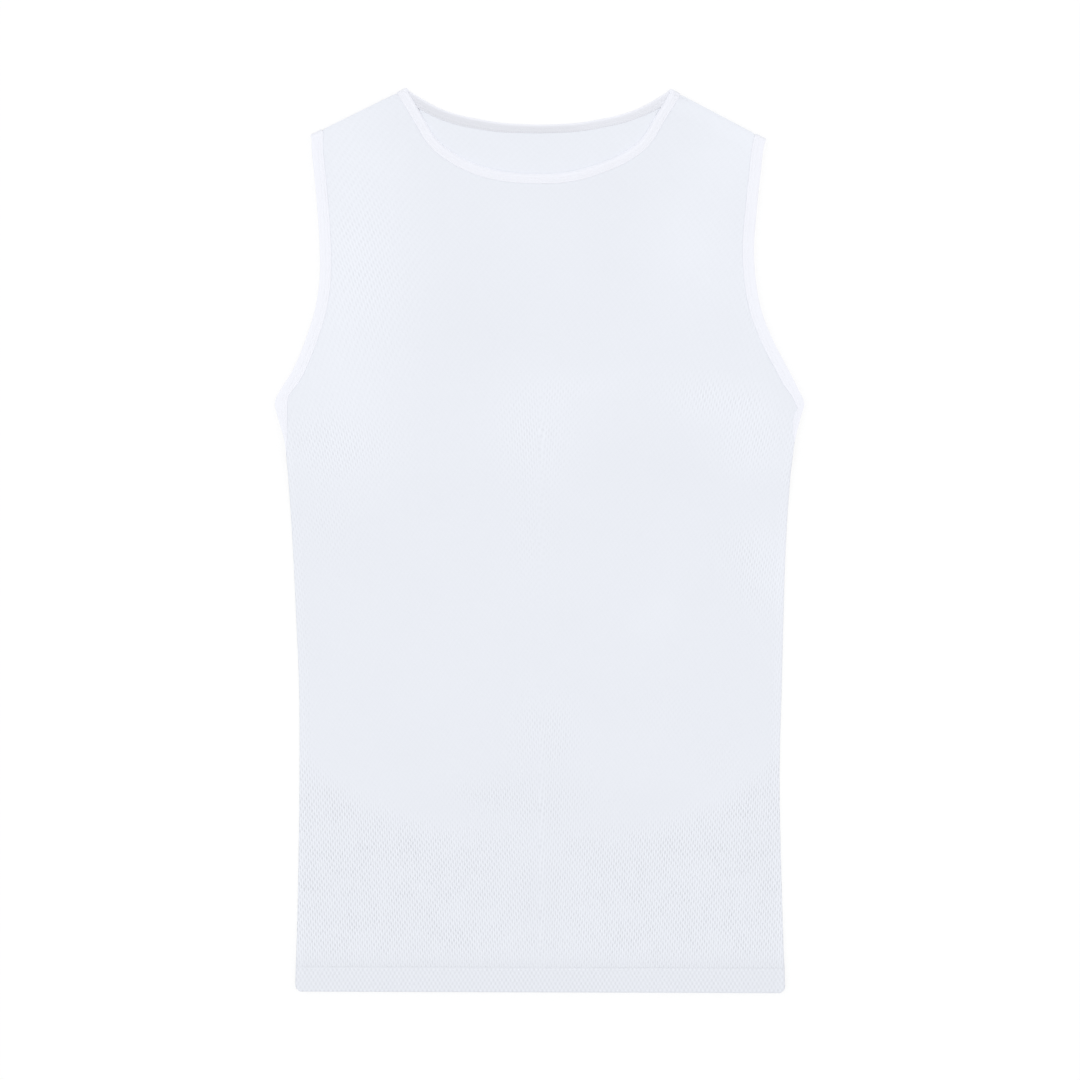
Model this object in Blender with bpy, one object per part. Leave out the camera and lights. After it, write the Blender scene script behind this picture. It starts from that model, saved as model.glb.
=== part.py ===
"""Sleeveless mesh T-shirt laid flat: a front panel, a back panel and three folded bindings.

Metres, +Z up. The shirt lies on the plane z = 0 with its front side up and its neck
towards +Y. The origin is under the middle of its outline.
"""

from collections import namedtuple
from math import cos, pi, radians, sin, sqrt

import bmesh
import bpy
from mathutils import Vector
from mathutils.geometry import intersect_point_line

MM = 0.001
LEFT = -1
RIGHT = 1
FRONT = 1
BACK = -1
UP = Vector((0.0, 0.0, 1.0))

# Cloth layers
WALL = 1.0 * MM                 # one layer of knit
SEAM_GAP = 0.3 * MM             # between two layers, and between two pieces
LAYER = WALL + SEAM_GAP
BINDING = 3 * WALL + 2 * SEAM_GAP   # a binding is folded round the edge of a panel

# Heights of the middle of each cloth layer above the ground
BACK_FLAT = WALL / 2
FRONT_FLAT = BACK_FLAT + LAYER
FRONT_HEM = FRONT_FLAT + 2 * LAYER      # it lies on the turned-up edges of both hems
BACK_BOUND = BINDING / 2
FRONT_BOUND = BACK_BOUND + BINDING + SEAM_GAP
SHOULDER_AXIS = (BACK_BOUND + FRONT_BOUND) / 2
SHOULDER_RADIUS = (FRONT_BOUND - BACK_BOUND) / 2

# Sizes along the cloth
ARMHOLE_BAND = 9.0 * MM
NECK_BAND = 8.0 * MM
TAIL_TIP = 2.6 * MM             # width of an armhole binding where its tail ends
TAIL_END = {LEFT: 65.0 * MM, RIGHT: 75.0 * MM}      # height at which it ends
EDGE_INSET = 1.8 * MM           # from the fold of a binding to the panel's edge inside it
EDGE_STEP = 4.0 * MM            # below a tail the panel comes out to the outline in this
SOFT_FOLD = 0.8 * MM            # the rounding of a binding's fold
HEM_BOTTOM = {LEFT: -349.2 * MM, RIGHT: -350.4 * MM}
HEM_TURN_UP = 20.0 * MM
HEM_CORNER = 4.5 * MM           # radius of the hem's two corners
EDGE_FLAT = 12.0 * MM           # the cloth stays level this far from a bound edge
BACK_FALL = 24.0 * MM           # then it sinks to the ground in this
FRONT_FALL = 45.0 * MM
NECK_FALL = 32.0 * MM           # the front neck binding sinks in this behind the back one
ARMHOLE_STATION = 11.0 * MM     # between two sections of an armhole binding
NECK_STATIONS = 26              # along the front neckline, and along the back one

# Outline, in millimetres from the origin: half widths to the left and to the right
Level = namedtuple("Level", "height left right")
SHOULDER_TIP = {LEFT: Level(314.6, 176.6, 0.0), RIGHT: Level(311.0, 0.0, 174.2)}
ARMHOLE = [                     # from below the shoulder tip down to the underarm corner
    Level(302.0, 176.7, 172.3),
    Level(286.0, 175.1, 170.4),
    Level(255.0, 172.3, 167.2),
    Level(224.0, 170.5, 165.0),
    Level(200.0, 170.8, 166.6),
    Level(178.0, 174.3, 170.7),
    Level(155.0, 181.5, 179.6),
    Level(131.0, 191.7, 192.1),
    Level(114.5, 201.8, 200.4),
    Level(108.5, 204.8, 203.3),
    Level(104.6, 205.4, 204.0),
]
FLANK = [                       # from the underarm corner down to the hem
    Level(104.6, 205.4, 204.0),
    Level(93.0, 202.3, 200.6),
    Level(78.0, 198.0, 196.9),
    Level(62.0, 196.0, 194.5),
    Level(31.0, 193.7, 191.9),
    Level(-15.0, 191.0, 189.3),
    Level(-62.0, 188.8, 187.9),
    Level(-108.0, 186.8, 186.8),
    Level(-178.0, 186.3, 185.0),
    Level(-270.0, 187.5, 186.7),
    Level(-352.0, 189.5, 189.2),
]

# Neckline: share of the half width, and height of the edge in front and behind
NeckStep = namedtuple("NeckStep", "share front_left front_right back")
NECK_HALF_WIDTH = {LEFT: 104.4 * MM, RIGHT: 102.1 * MM}
NECK = [
    NeckStep(0.00, 283.9, 283.9, 321.8),
    NeckStep(0.15, 284.4, 284.4, 322.2),
    NeckStep(0.30, 286.2, 287.1, 323.3),
    NeckStep(0.45, 290.2, 292.0, 325.9),
    NeckStep(0.60, 297.3, 298.5, 329.2),
    NeckStep(0.75, 308.5, 309.0, 334.6),
    NeckStep(0.88, 329.5, 329.5, 341.9),
    NeckStep(1.00, 350.2, 349.1, 349.6),
]

# Panel grid
BODY_ROWS = 6
TAIL_ROWS = 2
ARMHOLE_ROWS = 10
HEM_COLUMNS = [0.0, 1.5 * MM, HEM_CORNER, 16.0 * MM, 38.0 * MM, 62.0 * MM, 86.0 * MM]
SHOULDER_SHARES = [0.0, 0.02, 0.06, 0.2, 0.45, 0.72, 1.0]
HEM_FOLD_ANGLES = [radians(60), radians(120), radians(180)]
SHOULDER_FOLD_ANGLES = [radians(45), pi / 2 - SEAM_GAP / 2 / SHOULDER_RADIUS]
BINDING_FOLD_ANGLES = [radians(45), radians(90), radians(135)]

# Finish: colour as linear red, green and blue, and roughness
MESH_CLOTH = ((0.84, 0.86, 0.92), 0.9)
BINDING_CLOTH = ((0.88, 0.90, 0.95), 0.85)


# ---------------------------------------------------------------- curves in the plane


def spline(knots, pieces=8):
    """A smooth path through the knots, as a dense list of points."""
    chords = [(b - a).length for a, b in zip(knots, knots[1:])]
    slopes = [(b - a) / c for a, b, c in zip(knots, knots[1:], chords)]
    inner = [(slopes[i] * chords[i + 1] + slopes[i + 1] * chords[i]) / (chords[i] + chords[i + 1])
             for i in range(len(slopes) - 1)]
    tangents = [slopes[0]] + inner + [slopes[-1]]
    path = []
    for i, chord in enumerate(chords):
        for k in range(pieces):
            t = k / pieces
            path.append(knots[i] * (2 * t**3 - 3 * t**2 + 1)
                        + knots[i + 1] * (3 * t**2 - 2 * t**3)
                        + tangents[i] * chord * (t**3 - 2 * t**2 + t)
                        + tangents[i + 1] * chord * (t**3 - t**2))
    path.append(knots[-1])
    return path


def share_points(path, shares):
    """The points of a path at the given shares of its length."""
    lengths = [0.0]
    for a, b in zip(path, path[1:]):
        lengths.append(lengths[-1] + (b - a).length)
    points = []
    for share in shares:
        target = share * lengths[-1]
        i = next(i for i in range(1, len(path)) if lengths[i] >= target or i == len(path) - 1)
        t = (target - lengths[i - 1]) / (lengths[i] - lengths[i - 1])
        points.append(path[i - 1].lerp(path[i], t))
    return points


def even_points(path, spacing):
    """Points about one spacing apart along a path, both ends included."""
    length = sum((b - a).length for a, b in zip(path, path[1:]))
    count = max(1, round(length / spacing))
    return share_points(path, [i / count for i in range(count + 1)])


def point_at_height(path, height):
    """Where a path that runs down or up passes a height."""
    for a, b in zip(path, path[1:]):
        if min(a.y, b.y) <= height <= max(a.y, b.y):
            return a.lerp(b, (height - a.y) / (b.y - a.y))
    raise ValueError("the path does not reach this height")


def closest(point, path):
    """Distance from a point to a path, and the nearest point of the path."""
    best = None
    for a, b in zip(path, path[1:]):
        foot, t = intersect_point_line(point, a, b)
        foot = a.lerp(b, min(max(t, 0.0), 1.0))
        distance = (point - foot.to_2d()).length
        if best is None or distance < best[0]:
            best = (distance, foot.to_2d())
    return best


def across_directions(path, hand):
    """At each point of a path, the mitred direction into the cloth on one hand of travel."""
    normals = []
    for a, b in zip(path, path[1:]):
        t = (b - a).normalized()
        normals.append(Vector((t.y, -t.x)) * hand)
    directions = [normals[0]]
    for before, after in zip(normals, normals[1:]):
        middle = (before + after).normalized()
        directions.append(middle / middle.dot(before))
    directions.append(normals[-1])
    return directions


# ---------------------------------------------------------------- the outline


def half_width(level, side):
    return level.left if side == LEFT else level.right


def outline(levels, side):
    """One side of the outline from a table of levels, running down."""
    return spline([Vector((side * half_width(row, side), row.height)) * MM for row in levels])


def neckline(face):
    """The neck edge of the front or the back, from left to right."""
    knots = []
    for side, rows in ((LEFT, NECK[:0:-1]), (RIGHT, NECK)):
        for row in rows:
            height = row.back
            if face == FRONT:
                height = row.front_left if side == LEFT else row.front_right
            knots.append(Vector((side * row.share * NECK_HALF_WIDTH[side], height * MM)))
    return spline(knots)


class Shoulder:
    """The straight fold over one shoulder, from the tip to the neck."""

    def __init__(self, side):
        self.side = side
        self.tip = Vector((side * half_width(SHOULDER_TIP[side], side),
                           SHOULDER_TIP[side].height)) * MM
        neck = NECK[-1]
        height = neck.front_left if side == LEFT else neck.front_right
        self.neck = Vector((side * NECK_HALF_WIDTH[side], height * MM))
        self.along = (self.neck - self.tip).normalized()
        self.out = Vector((self.along.y, -self.along.x)) * side
        self.depth = SHOULDER_RADIUS + BINDING / 2      # from the outline in to the fold's axis

    def cut(self, path):
        """A path that starts at the shoulder's outline, from the fold's axis onwards."""
        depths = [(self.tip - p).dot(self.out) - self.depth for p in path]
        i = next(i for i, depth in enumerate(depths) if depth > 0)
        t = -depths[i - 1] / (depths[i] - depths[i - 1])
        return [path[i - 1].lerp(path[i], t)] + path[i:]

    def mitre(self, path, inwards):
        """The direction along the fold that crosses a path's first stretch by one unit."""
        t = (path[1] - path[0]).normalized()
        return inwards / abs(inwards.cross(t))


SHOULDERS = {side: Shoulder(side) for side in (LEFT, RIGHT)}
ARMHOLE_EDGE = {side: SHOULDERS[side].cut(outline([SHOULDER_TIP[side]] + ARMHOLE, side))
                for side in (LEFT, RIGHT)}
FLANK_EDGE = {side: outline(FLANK, side) for side in (LEFT, RIGHT)}


def neck_edge(face):
    """The neckline between the axes of the two shoulder folds, from left to right."""
    path = SHOULDERS[LEFT].cut(neckline(face))
    return SHOULDERS[RIGHT].cut(path[::-1])[::-1]


NECK_EDGE = {face: neck_edge(face) for face in (FRONT, BACK)}


def neck_points(face):
    """The stations that a panel's edge and its binding share, so that they stay apart."""
    return share_points(NECK_EDGE[face], [i / NECK_STATIONS for i in range(NECK_STATIONS + 1)])


def tail_edge(side):
    """The stretch of the flank that an armhole binding's tail covers, running down."""
    end = point_at_height(FLANK_EDGE[side], TAIL_END[side])
    return [p for p in FLANK_EDGE[side] if p.y > end.y] + [end]


TAIL_EDGE = {side: tail_edge(side) for side in (LEFT, RIGHT)}


# ---------------------------------------------------------------- how the layers lie


def nearness(distance, fall):
    """1 beside a bound edge, easing to 0 where the cloth has sunk to its flat height."""
    t = min(max((distance - EDGE_FLAT) / fall, 0.0), 1.0)
    return 1.0 - t * t * (3.0 - 2.0 * t)


def distance_to_side_bindings(point):
    """From a point to the nearest armhole, tail or shoulder fold."""
    paths = [ARMHOLE_EDGE[LEFT], ARMHOLE_EDGE[RIGHT], TAIL_EDGE[LEFT], TAIL_EDGE[RIGHT]]
    paths += [[fold.tip, fold.neck] for fold in SHOULDERS.values()]
    return min(closest(point, path)[0] for path in paths)


def front_neck_height(point):
    """The front neck binding sinks onto the back panel where it has left the back binding."""
    on_back_panel = WALL + SEAM_GAP + BINDING / 2
    distance = closest(point, NECK_EDGE[BACK])[0]
    return on_back_panel + (FRONT_BOUND - on_back_panel) * nearness(distance, NECK_FALL)


def back_height(point):
    distance = min(distance_to_side_bindings(point), closest(point, NECK_EDGE[BACK])[0])
    return BACK_FLAT + (BACK_BOUND - BACK_FLAT) * nearness(distance, BACK_FALL)


def front_height(point):
    beside = nearness(distance_to_side_bindings(point), FRONT_FALL)
    distance, foot = closest(point, NECK_EDGE[FRONT])
    neck = nearness(distance, FRONT_FALL) * (front_neck_height(foot) - FRONT_FLAT)
    hem_top = hem_line(point.x) + HEM_TURN_UP
    hem = nearness(point.y - hem_top + EDGE_FLAT - SEAM_GAP, FRONT_FALL) * (FRONT_HEM - FRONT_FLAT)
    return FRONT_FLAT + max(beside * (FRONT_BOUND - FRONT_FLAT), neck, hem)


HEIGHT = {FRONT: front_height, BACK: back_height}


def hem_line(x):
    """The hem's lower edge is straight and slightly slanted."""
    width = FLANK[-1].left + FLANK[-1].right
    t = (x / MM + FLANK[-1].left) / width
    return HEM_BOTTOM[LEFT] + (HEM_BOTTOM[RIGHT] - HEM_BOTTOM[LEFT]) * t


def corner_rise(distance):
    """How far a rounded hem corner lifts the lower edge at a distance from the side."""
    inside = max(HEM_CORNER - distance, 0.0)
    return HEM_CORNER - sqrt(HEM_CORNER**2 - inside**2)


# ---------------------------------------------------------------- solids


def finish_object(name, mesh_builder, finish):
    """Turn a bmesh into a named object with a material of its own."""
    bmesh.ops.recalc_face_normals(mesh_builder, faces=mesh_builder.faces)
    mesh = bpy.data.meshes.new(name)
    mesh_builder.to_mesh(mesh)
    mesh_builder.free()
    mesh.shade_smooth()
    mesh.set_sharp_from_angle(angle=radians(30))
    colour, roughness = finish
    material = bpy.data.materials.new(name + "_cloth")
    material.use_nodes = True
    shader = material.node_tree.nodes["Principled BSDF"]
    shader.inputs["Base Color"].default_value = (*colour, 1.0)
    shader.inputs["Roughness"].default_value = roughness
    mesh.materials.append(material)
    cloth = bpy.data.objects.new(name, mesh)
    bpy.context.scene.collection.objects.link(cloth)
    return cloth


def loft(name, rings, closed, finish):
    """Join sections of the same number of points into one closed solid."""
    bm = bmesh.new()
    verts = [[bm.verts.new(p) for p in ring] for ring in rings]
    pairs = list(zip(verts, verts[1:]))
    if closed:
        pairs.append((verts[-1], verts[0]))
    count = len(rings[0])
    for ring, following in pairs:
        for i in range(count):
            j = (i + 1) % count
            bm.faces.new((ring[i], ring[j], following[j], following[i]))
    if not closed:
        bm.faces.new(verts[0])
        bm.faces.new(verts[-1])
    return finish_object(name, bm, finish)


def thicken(name, points, normals, quads, finish):
    """Give a sheet of quads the wall's thickness, half to each side."""
    bm = bmesh.new()
    outer = [bm.verts.new(p + n * WALL / 2) for p, n in zip(points, normals)]
    inner = [bm.verts.new(p - n * WALL / 2) for p, n in zip(points, normals)]
    used = set()
    for quad in quads:
        bm.faces.new([outer[i] for i in quad])
        bm.faces.new([inner[i] for i in reversed(quad)])
        used.update(zip(quad, quad[1:] + quad[:1]))
    for a, b in sorted(used):
        if (b, a) not in used:
            bm.faces.new((outer[b], outer[a], inner[a], inner[b]))
    return finish_object(name, bm, finish)


# ---------------------------------------------------------------- bindings


def folded_section(width):
    """A strip folded round an edge: across the strip from its fold, and out from the middle."""
    outer = BINDING / 2
    inner = outer - WALL
    return [(0.0, SOFT_FOLD - outer), (SOFT_FOLD, -outer), (width, -outer), (width, -inner),
            (WALL, -inner), (WALL, inner), (width, inner), (width, outer),
            (SOFT_FOLD, outer), (0.0, outer - SOFT_FOLD)]


def ring_at(edge, across, out, width):
    return [edge + across * a + out * b for a, b in folded_section(width)]


def run_rings(path, hand, face, height, width):
    """Sections along one run; height and width are functions of a point of the path."""
    out = UP * face
    rings = []
    for point, across in zip(path, across_directions(path, hand)):
        edge = Vector((point.x, point.y, height(point)))
        rings.append(ring_at(edge, across.to_3d(), out, width(point)))
    return rings


def fold_rings(shoulder, front_start, back_start, inwards, width):
    """Sections over the shoulder, from the front run's path to the back run's path."""
    front_across = shoulder.mitre(front_start, inwards)
    back_across = shoulder.mitre(back_start, inwards)
    rings = []
    for angle in [0.0] + BINDING_FOLD_ANGLES + [pi]:
        out = shoulder.out.to_3d() * sin(angle) + UP * cos(angle)
        axis = front_start[0].lerp(back_start[0], angle / pi).to_3d() + UP * SHOULDER_AXIS
        across = front_across.lerp(back_across, angle / pi).to_3d()
        rings.append(ring_at(axis + out * SHOULDER_RADIUS, across, out, width))
    return rings


def make_neck_binding():
    """One closed ring: front run, right shoulder, back run, left shoulder."""
    front = neck_points(FRONT)
    back = neck_points(BACK)

    def width(point):
        return NECK_BAND

    front_rings = run_rings(front, 1, FRONT, front_neck_height, width)
    back_rings = run_rings(back, 1, BACK, lambda point: BACK_BOUND, width)
    right = SHOULDERS[RIGHT]
    left = SHOULDERS[LEFT]
    over_right = fold_rings(right, front[::-1], back[::-1], -right.along, NECK_BAND)
    over_left = fold_rings(left, front, back, -left.along, NECK_BAND)
    rings = front_rings[1:-1] + over_right + back_rings[-2:0:-1] + over_left[::-1]
    return loft("neck_binding", rings, True, BINDING_CLOTH)


def make_armhole_binding(side, name):
    """One strip: front tail and front run, over the shoulder, back run and back tail."""
    tail = even_points(TAIL_EDGE[side][::-1], ARMHOLE_STATION)
    run = even_points(ARMHOLE_EDGE[side][::-1], ARMHOLE_STATION)
    path = tail[:-1] + run
    corner = tail[-1].y
    end = tail[0].y

    def width(point):
        share = min(max((point.y - end) / (corner - end), 0.0), 1.0)
        return TAIL_TIP + (ARMHOLE_BAND - TAIL_TIP) * share

    front_rings = run_rings(path, -side, FRONT, lambda point: FRONT_BOUND, width)
    back_rings = run_rings(path, -side, BACK, lambda point: BACK_BOUND, width)
    shoulder = SHOULDERS[side]
    over = fold_rings(shoulder, path[::-1], path[::-1], shoulder.along, ARMHOLE_BAND)
    rings = front_rings[:-1] + over + back_rings[-2::-1]
    return loft(name, rings, False, BINDING_CLOTH)


# ---------------------------------------------------------------- panels


def panel_side(side):
    """One side of a panel, from the hem's fold up to the axis of the shoulder fold."""
    flank = FLANK_EDGE[side]
    end = TAIL_END[side]
    corner = flank[0].y
    hem_fold = hem_line(side * half_width(FLANK[-1], side) * MM) + LAYER / 2 + WALL / 2
    hem_top = hem_fold + HEM_TURN_UP
    heights = [hem_fold + corner_rise(0.0)]
    heights += [hem_top + (end - EDGE_STEP - hem_top) * i / BODY_ROWS for i in range(BODY_ROWS + 1)]
    points = [point_at_height(flank, height) for height in heights]
    tail = share_points(TAIL_EDGE[side][::-1], [i / TAIL_ROWS for i in range(TAIL_ROWS + 1)])
    run = share_points(ARMHOLE_EDGE[side][::-1],
                       [i / ARMHOLE_ROWS for i in range(ARMHOLE_ROWS + 1)])
    bound = tail[:-1] + run
    directions = across_directions(bound, -side)
    shoulder = SHOULDERS[side]
    directions[-1] = shoulder.mitre(bound[::-1], shoulder.along)
    return points + [p + d * EDGE_INSET for p, d in zip(bound, directions)]


def panel_top(face):
    """The upper edge of a panel: left shoulder axis, neckline and right shoulder axis."""
    neck = neck_points(face)
    directions = across_directions(neck, 1)
    shoulder_rows = {}
    front_neck = neck_points(FRONT)
    for side, start in ((LEFT, front_neck), (RIGHT, front_neck[::-1])):
        shoulder = SHOULDERS[side]
        arm_end = panel_side(side)[-1]
        neck_end = start[0] + shoulder.mitre(start, -shoulder.along) * EDGE_INSET
        shoulder_rows[side] = [arm_end.lerp(neck_end, share) for share in SHOULDER_SHARES]
    middle = [p + d * EDGE_INSET for p, d in zip(neck, directions)][1:-1]
    return shoulder_rows[LEFT] + middle + shoulder_rows[RIGHT][::-1]


def panel_bottom():
    """The hem's fold line, with its corners rounded."""
    left = panel_side(LEFT)[0].x
    right = panel_side(RIGHT)[0].x
    inner = len(HEM_COLUMNS) - 1
    start = left + HEM_COLUMNS[-1]
    step = (right - HEM_COLUMNS[-1] - start) / NECK_STATIONS
    xs = [left + e for e in HEM_COLUMNS[:inner]]
    xs += [start + step * i for i in range(NECK_STATIONS + 1)]
    xs += [right - e for e in reversed(HEM_COLUMNS[:inner])]
    fold = LAYER / 2 + WALL / 2
    return [Vector((x, hem_line(x) + fold + corner_rise(min(x - left, right - x)))) for x in xs]


def shares_of(path):
    lengths = [0.0]
    for a, b in zip(path, path[1:]):
        lengths.append(lengths[-1] + (b - a).length)
    return [length / lengths[-1] for length in lengths]


def fill_grid(bottom, top, left, right):
    """Rows of points between four edges, each row from left to right."""
    us = list(zip(shares_of(bottom), shares_of(top)))
    vs = [(a + b) / 2 for a, b in zip(shares_of(left), shares_of(right))]
    rows = []
    for j, v in enumerate(vs):
        row = []
        for i, (low, high) in enumerate(us):
            u = low + (high - low) * v
            ruled = bottom[i].lerp(top[i], v) + left[j].lerp(right[j], u)
            corners = bottom[0].lerp(bottom[-1], u).lerp(top[0].lerp(top[-1], u), v)
            row.append(ruled - corners)
        rows.append(row)
    return rows


def make_panel(face, name):
    """One panel: its sheet, the hem turned up inside it and its halves of the shoulder folds."""
    bottom = panel_bottom()
    top = panel_top(face)
    grid = fill_grid(bottom, top, panel_side(LEFT), panel_side(RIGHT))
    height = HEIGHT[face]
    out = UP * face
    points = []
    normals = []
    numbers = []

    def add_row(row):
        numbers.append(list(range(len(points), len(points) + len(row))))
        points.extend(point for point, normal in row)
        normals.extend(normal for point, normal in row)

    radius = LAYER / 2
    main_height = {FRONT: FRONT_HEM, BACK: BACK_FLAT}[face]
    turned_up = [(Vector((p.x, hem_line(p.x) + HEM_TURN_UP, main_height - face * LAYER)), -out)
                 for p in bottom]
    add_row(turned_up)
    for angle in reversed(HEM_FOLD_ANGLES):
        normal = Vector((0.0, -sin(angle), 0.0)) + out * cos(angle)
        middle = main_height - face * radius
        add_row([(Vector((p.x, p.y, middle)) + normal * radius, normal) for p in bottom])
    for row in grid:
        add_row([(Vector((p.x, p.y, height(p))), out) for p in row])
    quads = []
    for low, high in zip(numbers, numbers[1:]):
        quads += [(low[i], low[i + 1], high[i + 1], high[i]) for i in range(len(low) - 1)]
    width = len(SHOULDER_SHARES)
    for side, columns in ((LEFT, slice(0, width)), (RIGHT, slice(-width, None))):
        fold_out = SHOULDERS[side].out.to_3d()
        low = numbers[len(grid) + len(HEM_FOLD_ANGLES)][columns]
        for angle in SHOULDER_FOLD_ANGLES:
            normal = fold_out * sin(angle) + out * cos(angle)
            high = list(range(len(points), len(points) + width))
            for p in top[columns]:
                points.append(p.to_3d() + UP * SHOULDER_AXIS + normal * SHOULDER_RADIUS)
                normals.append(normal)
            quads += [(low[i], low[i + 1], high[i + 1], high[i]) for i in range(width - 1)]
            low = high
    return thicken(name, points, normals, quads, MESH_CLOTH)


# ---------------------------------------------------------------- the shirt


def make_shirt():
    make_panel(BACK, "back_panel")
    make_panel(FRONT, "front_panel")
    make_neck_binding()
    make_armhole_binding(LEFT, "armhole_binding_left")
    make_armhole_binding(RIGHT, "armhole_binding_right")


for leftover in list(bpy.data.objects):
    bpy.data.objects.remove(leftover)
make_shirt()
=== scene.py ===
"""Finish of a sleeveless mesh T-shirt laid flat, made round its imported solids.

Every piece is a thin shell on the form of its solid: two panels of dimpled knit with their hems
turned up, and three bindings of plain knit folded round the edges and sewn with twin needles.
"""

from collections import namedtuple
from math import cos, pi, radians, sin, sqrt

import bpy
import numpy as np
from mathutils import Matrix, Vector


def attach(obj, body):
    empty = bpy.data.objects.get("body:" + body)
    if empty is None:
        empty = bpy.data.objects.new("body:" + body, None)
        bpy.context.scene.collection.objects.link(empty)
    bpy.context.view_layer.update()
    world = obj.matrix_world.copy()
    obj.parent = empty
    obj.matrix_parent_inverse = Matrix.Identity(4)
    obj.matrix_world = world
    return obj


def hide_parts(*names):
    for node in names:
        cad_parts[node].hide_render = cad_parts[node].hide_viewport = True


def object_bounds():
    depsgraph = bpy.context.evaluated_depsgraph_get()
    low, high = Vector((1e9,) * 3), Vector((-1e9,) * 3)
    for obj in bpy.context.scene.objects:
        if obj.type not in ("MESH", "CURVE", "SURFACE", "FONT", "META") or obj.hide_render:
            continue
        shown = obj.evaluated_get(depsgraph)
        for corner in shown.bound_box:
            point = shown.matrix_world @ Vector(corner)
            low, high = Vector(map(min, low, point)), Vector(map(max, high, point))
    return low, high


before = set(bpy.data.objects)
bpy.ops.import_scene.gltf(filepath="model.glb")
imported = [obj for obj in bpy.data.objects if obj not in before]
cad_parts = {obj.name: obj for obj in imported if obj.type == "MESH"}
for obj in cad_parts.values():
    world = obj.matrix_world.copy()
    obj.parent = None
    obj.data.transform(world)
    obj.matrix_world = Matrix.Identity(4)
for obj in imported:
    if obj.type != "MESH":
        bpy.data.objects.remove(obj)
SOLID_BOX = [list(corner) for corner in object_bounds()]

# The shirt's length, hem to neck points, sets the scale of every size below
LENGTH_MM = 700.5
MM = (SOLID_BOX[1][1] - SOLID_BOX[0][1]) / LENGTH_MM
GROUND = SOLID_BOX[0][2]
LEFT = -1
RIGHT = 1
SIDES = (LEFT, RIGHT)
FRONT = 1
BACK = -1
UP = np.array([0.0, 0.0, 1.0])

# Cloth layers, as in the solids
WALL = 1.0 * MM
SEAM_GAP = 0.3 * MM
LAYER = WALL + SEAM_GAP
BINDING = 3 * WALL + 2 * SEAM_GAP
BACK_FLAT = GROUND + WALL / 2
FRONT_FLAT = BACK_FLAT + LAYER
FRONT_HEM = FRONT_FLAT + 2 * LAYER
BACK_BOUND = GROUND + BINDING / 2
FRONT_BOUND = BACK_BOUND + BINDING + SEAM_GAP
SHOULDER_AXIS = (BACK_BOUND + FRONT_BOUND) / 2
SHOULDER_RADIUS = (FRONT_BOUND - BACK_BOUND) / 2
SHOULDER_DEPTH = SHOULDER_RADIUS + BINDING / 2

# Sizes along the cloth
ARMHOLE_BAND = 9.0 * MM
NECK_BAND = 8.0 * MM
TAIL_END = {LEFT: 65.0 * MM, RIGHT: 75.0 * MM}
CORNER_TOP = 124.0 * MM             # where the binding turns from the armhole into its tail
EDGE_INSET = 1.8 * MM               # from a binding's fold to the panel's edge inside it
HEM_BOTTOM = {LEFT: -349.2 * MM, RIGHT: -350.4 * MM}
HEM_TURN_UP = 20.0 * MM
HEM_CORNER = 4.5 * MM
EDGE_FLAT = 12.0 * MM               # beside a bound edge the cloth keeps its height this far
BACK_FALL = 24.0 * MM               # and then sinks to its flat height in this
FRONT_FALL = 45.0 * MM
NECK_SETTLE = 3.0 * MM              # off the shoulder fold the front neck settles on the back one
NECK_LEAD = 0.5 * MM                # it starts to sink this far before the back band's mouth
NECK_FALL = 5.0 * MM                # and rests on the back panel this far past it
NECK_RELEASE = 24.0 * MM            # up to here the front panel follows its neck binding down
BACK_NARROWED = 0.15                # the back neck's band is narrower along its middle
NARROWS = (-60.0 * MM, 0.0)         # from left to right it gets narrower here
WIDENS = (70.0 * MM, 98.0 * MM)     # and wider again here
INSET_BELOW = 6.0 * MM              # a panel's side moves in under its binding between this far
INSET_ABOVE = 22.0 * MM             # below the tail's end and this far above it

# Finer sizes that only the shells have
CONTACT_GAP = 0.04 * MM             # between soft layers that rest on each other
CLOTH = 0.8 * MM                    # one layer of knit, inside its 1 mm wall
SEAM_ROLL = 3.0 * MM                # the panels' sides roll down to the side seam in this
SEAM_HALF = SEAM_GAP + 0.2 * CLOTH  # and there lie this far above and below it
SEAM_STEP = 0.22 * MM               # the seam allowance's edge shows through as a faint step
SEAM_STEP_FROM = 4.1 * MM           # from the side
SEAM_STEP_TO = 5.3 * MM
FREE_BELOW = 52.0 * MM              # the panels' sides are free below this height
HELD_ABOVE = 70.0 * MM              # and held by the bindings' tails above this one
FREE_EDGE = 0.7 * MM                # a free side thins to a rounded edge in this
FREE_EDGE_LEAST = 0.35              # down to this share of the cloth
TURNED_UP_THICKNESS = 0.7           # the hem's inner layer is pressed thinner
TURNED_UP_SHARES = (1.0, 0.75, 0.5, 0.25)
HEM_FOLD_STEPS = 8
HEM_LAYER_INSET = 3.4 * MM          # the turned-up layer stops short of the side seam
SHOULDER_BULGE = 0.50 * MM          # between its bindings the shoulder fold stands out by this
BULGE_FROM = -0.2 * MM              # and grows to that between these, from a binding's mouth
BULGE_TO = 2.2 * MM
GRID = 3.8 * MM                     # between two rows of a panel
STATION = 2.2 * MM                  # between two sections of a binding
TURN_BLEND = 16.0 * MM              # a binding turns into its shoulder fold in this
FOLD_STEPS = 12

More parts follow.
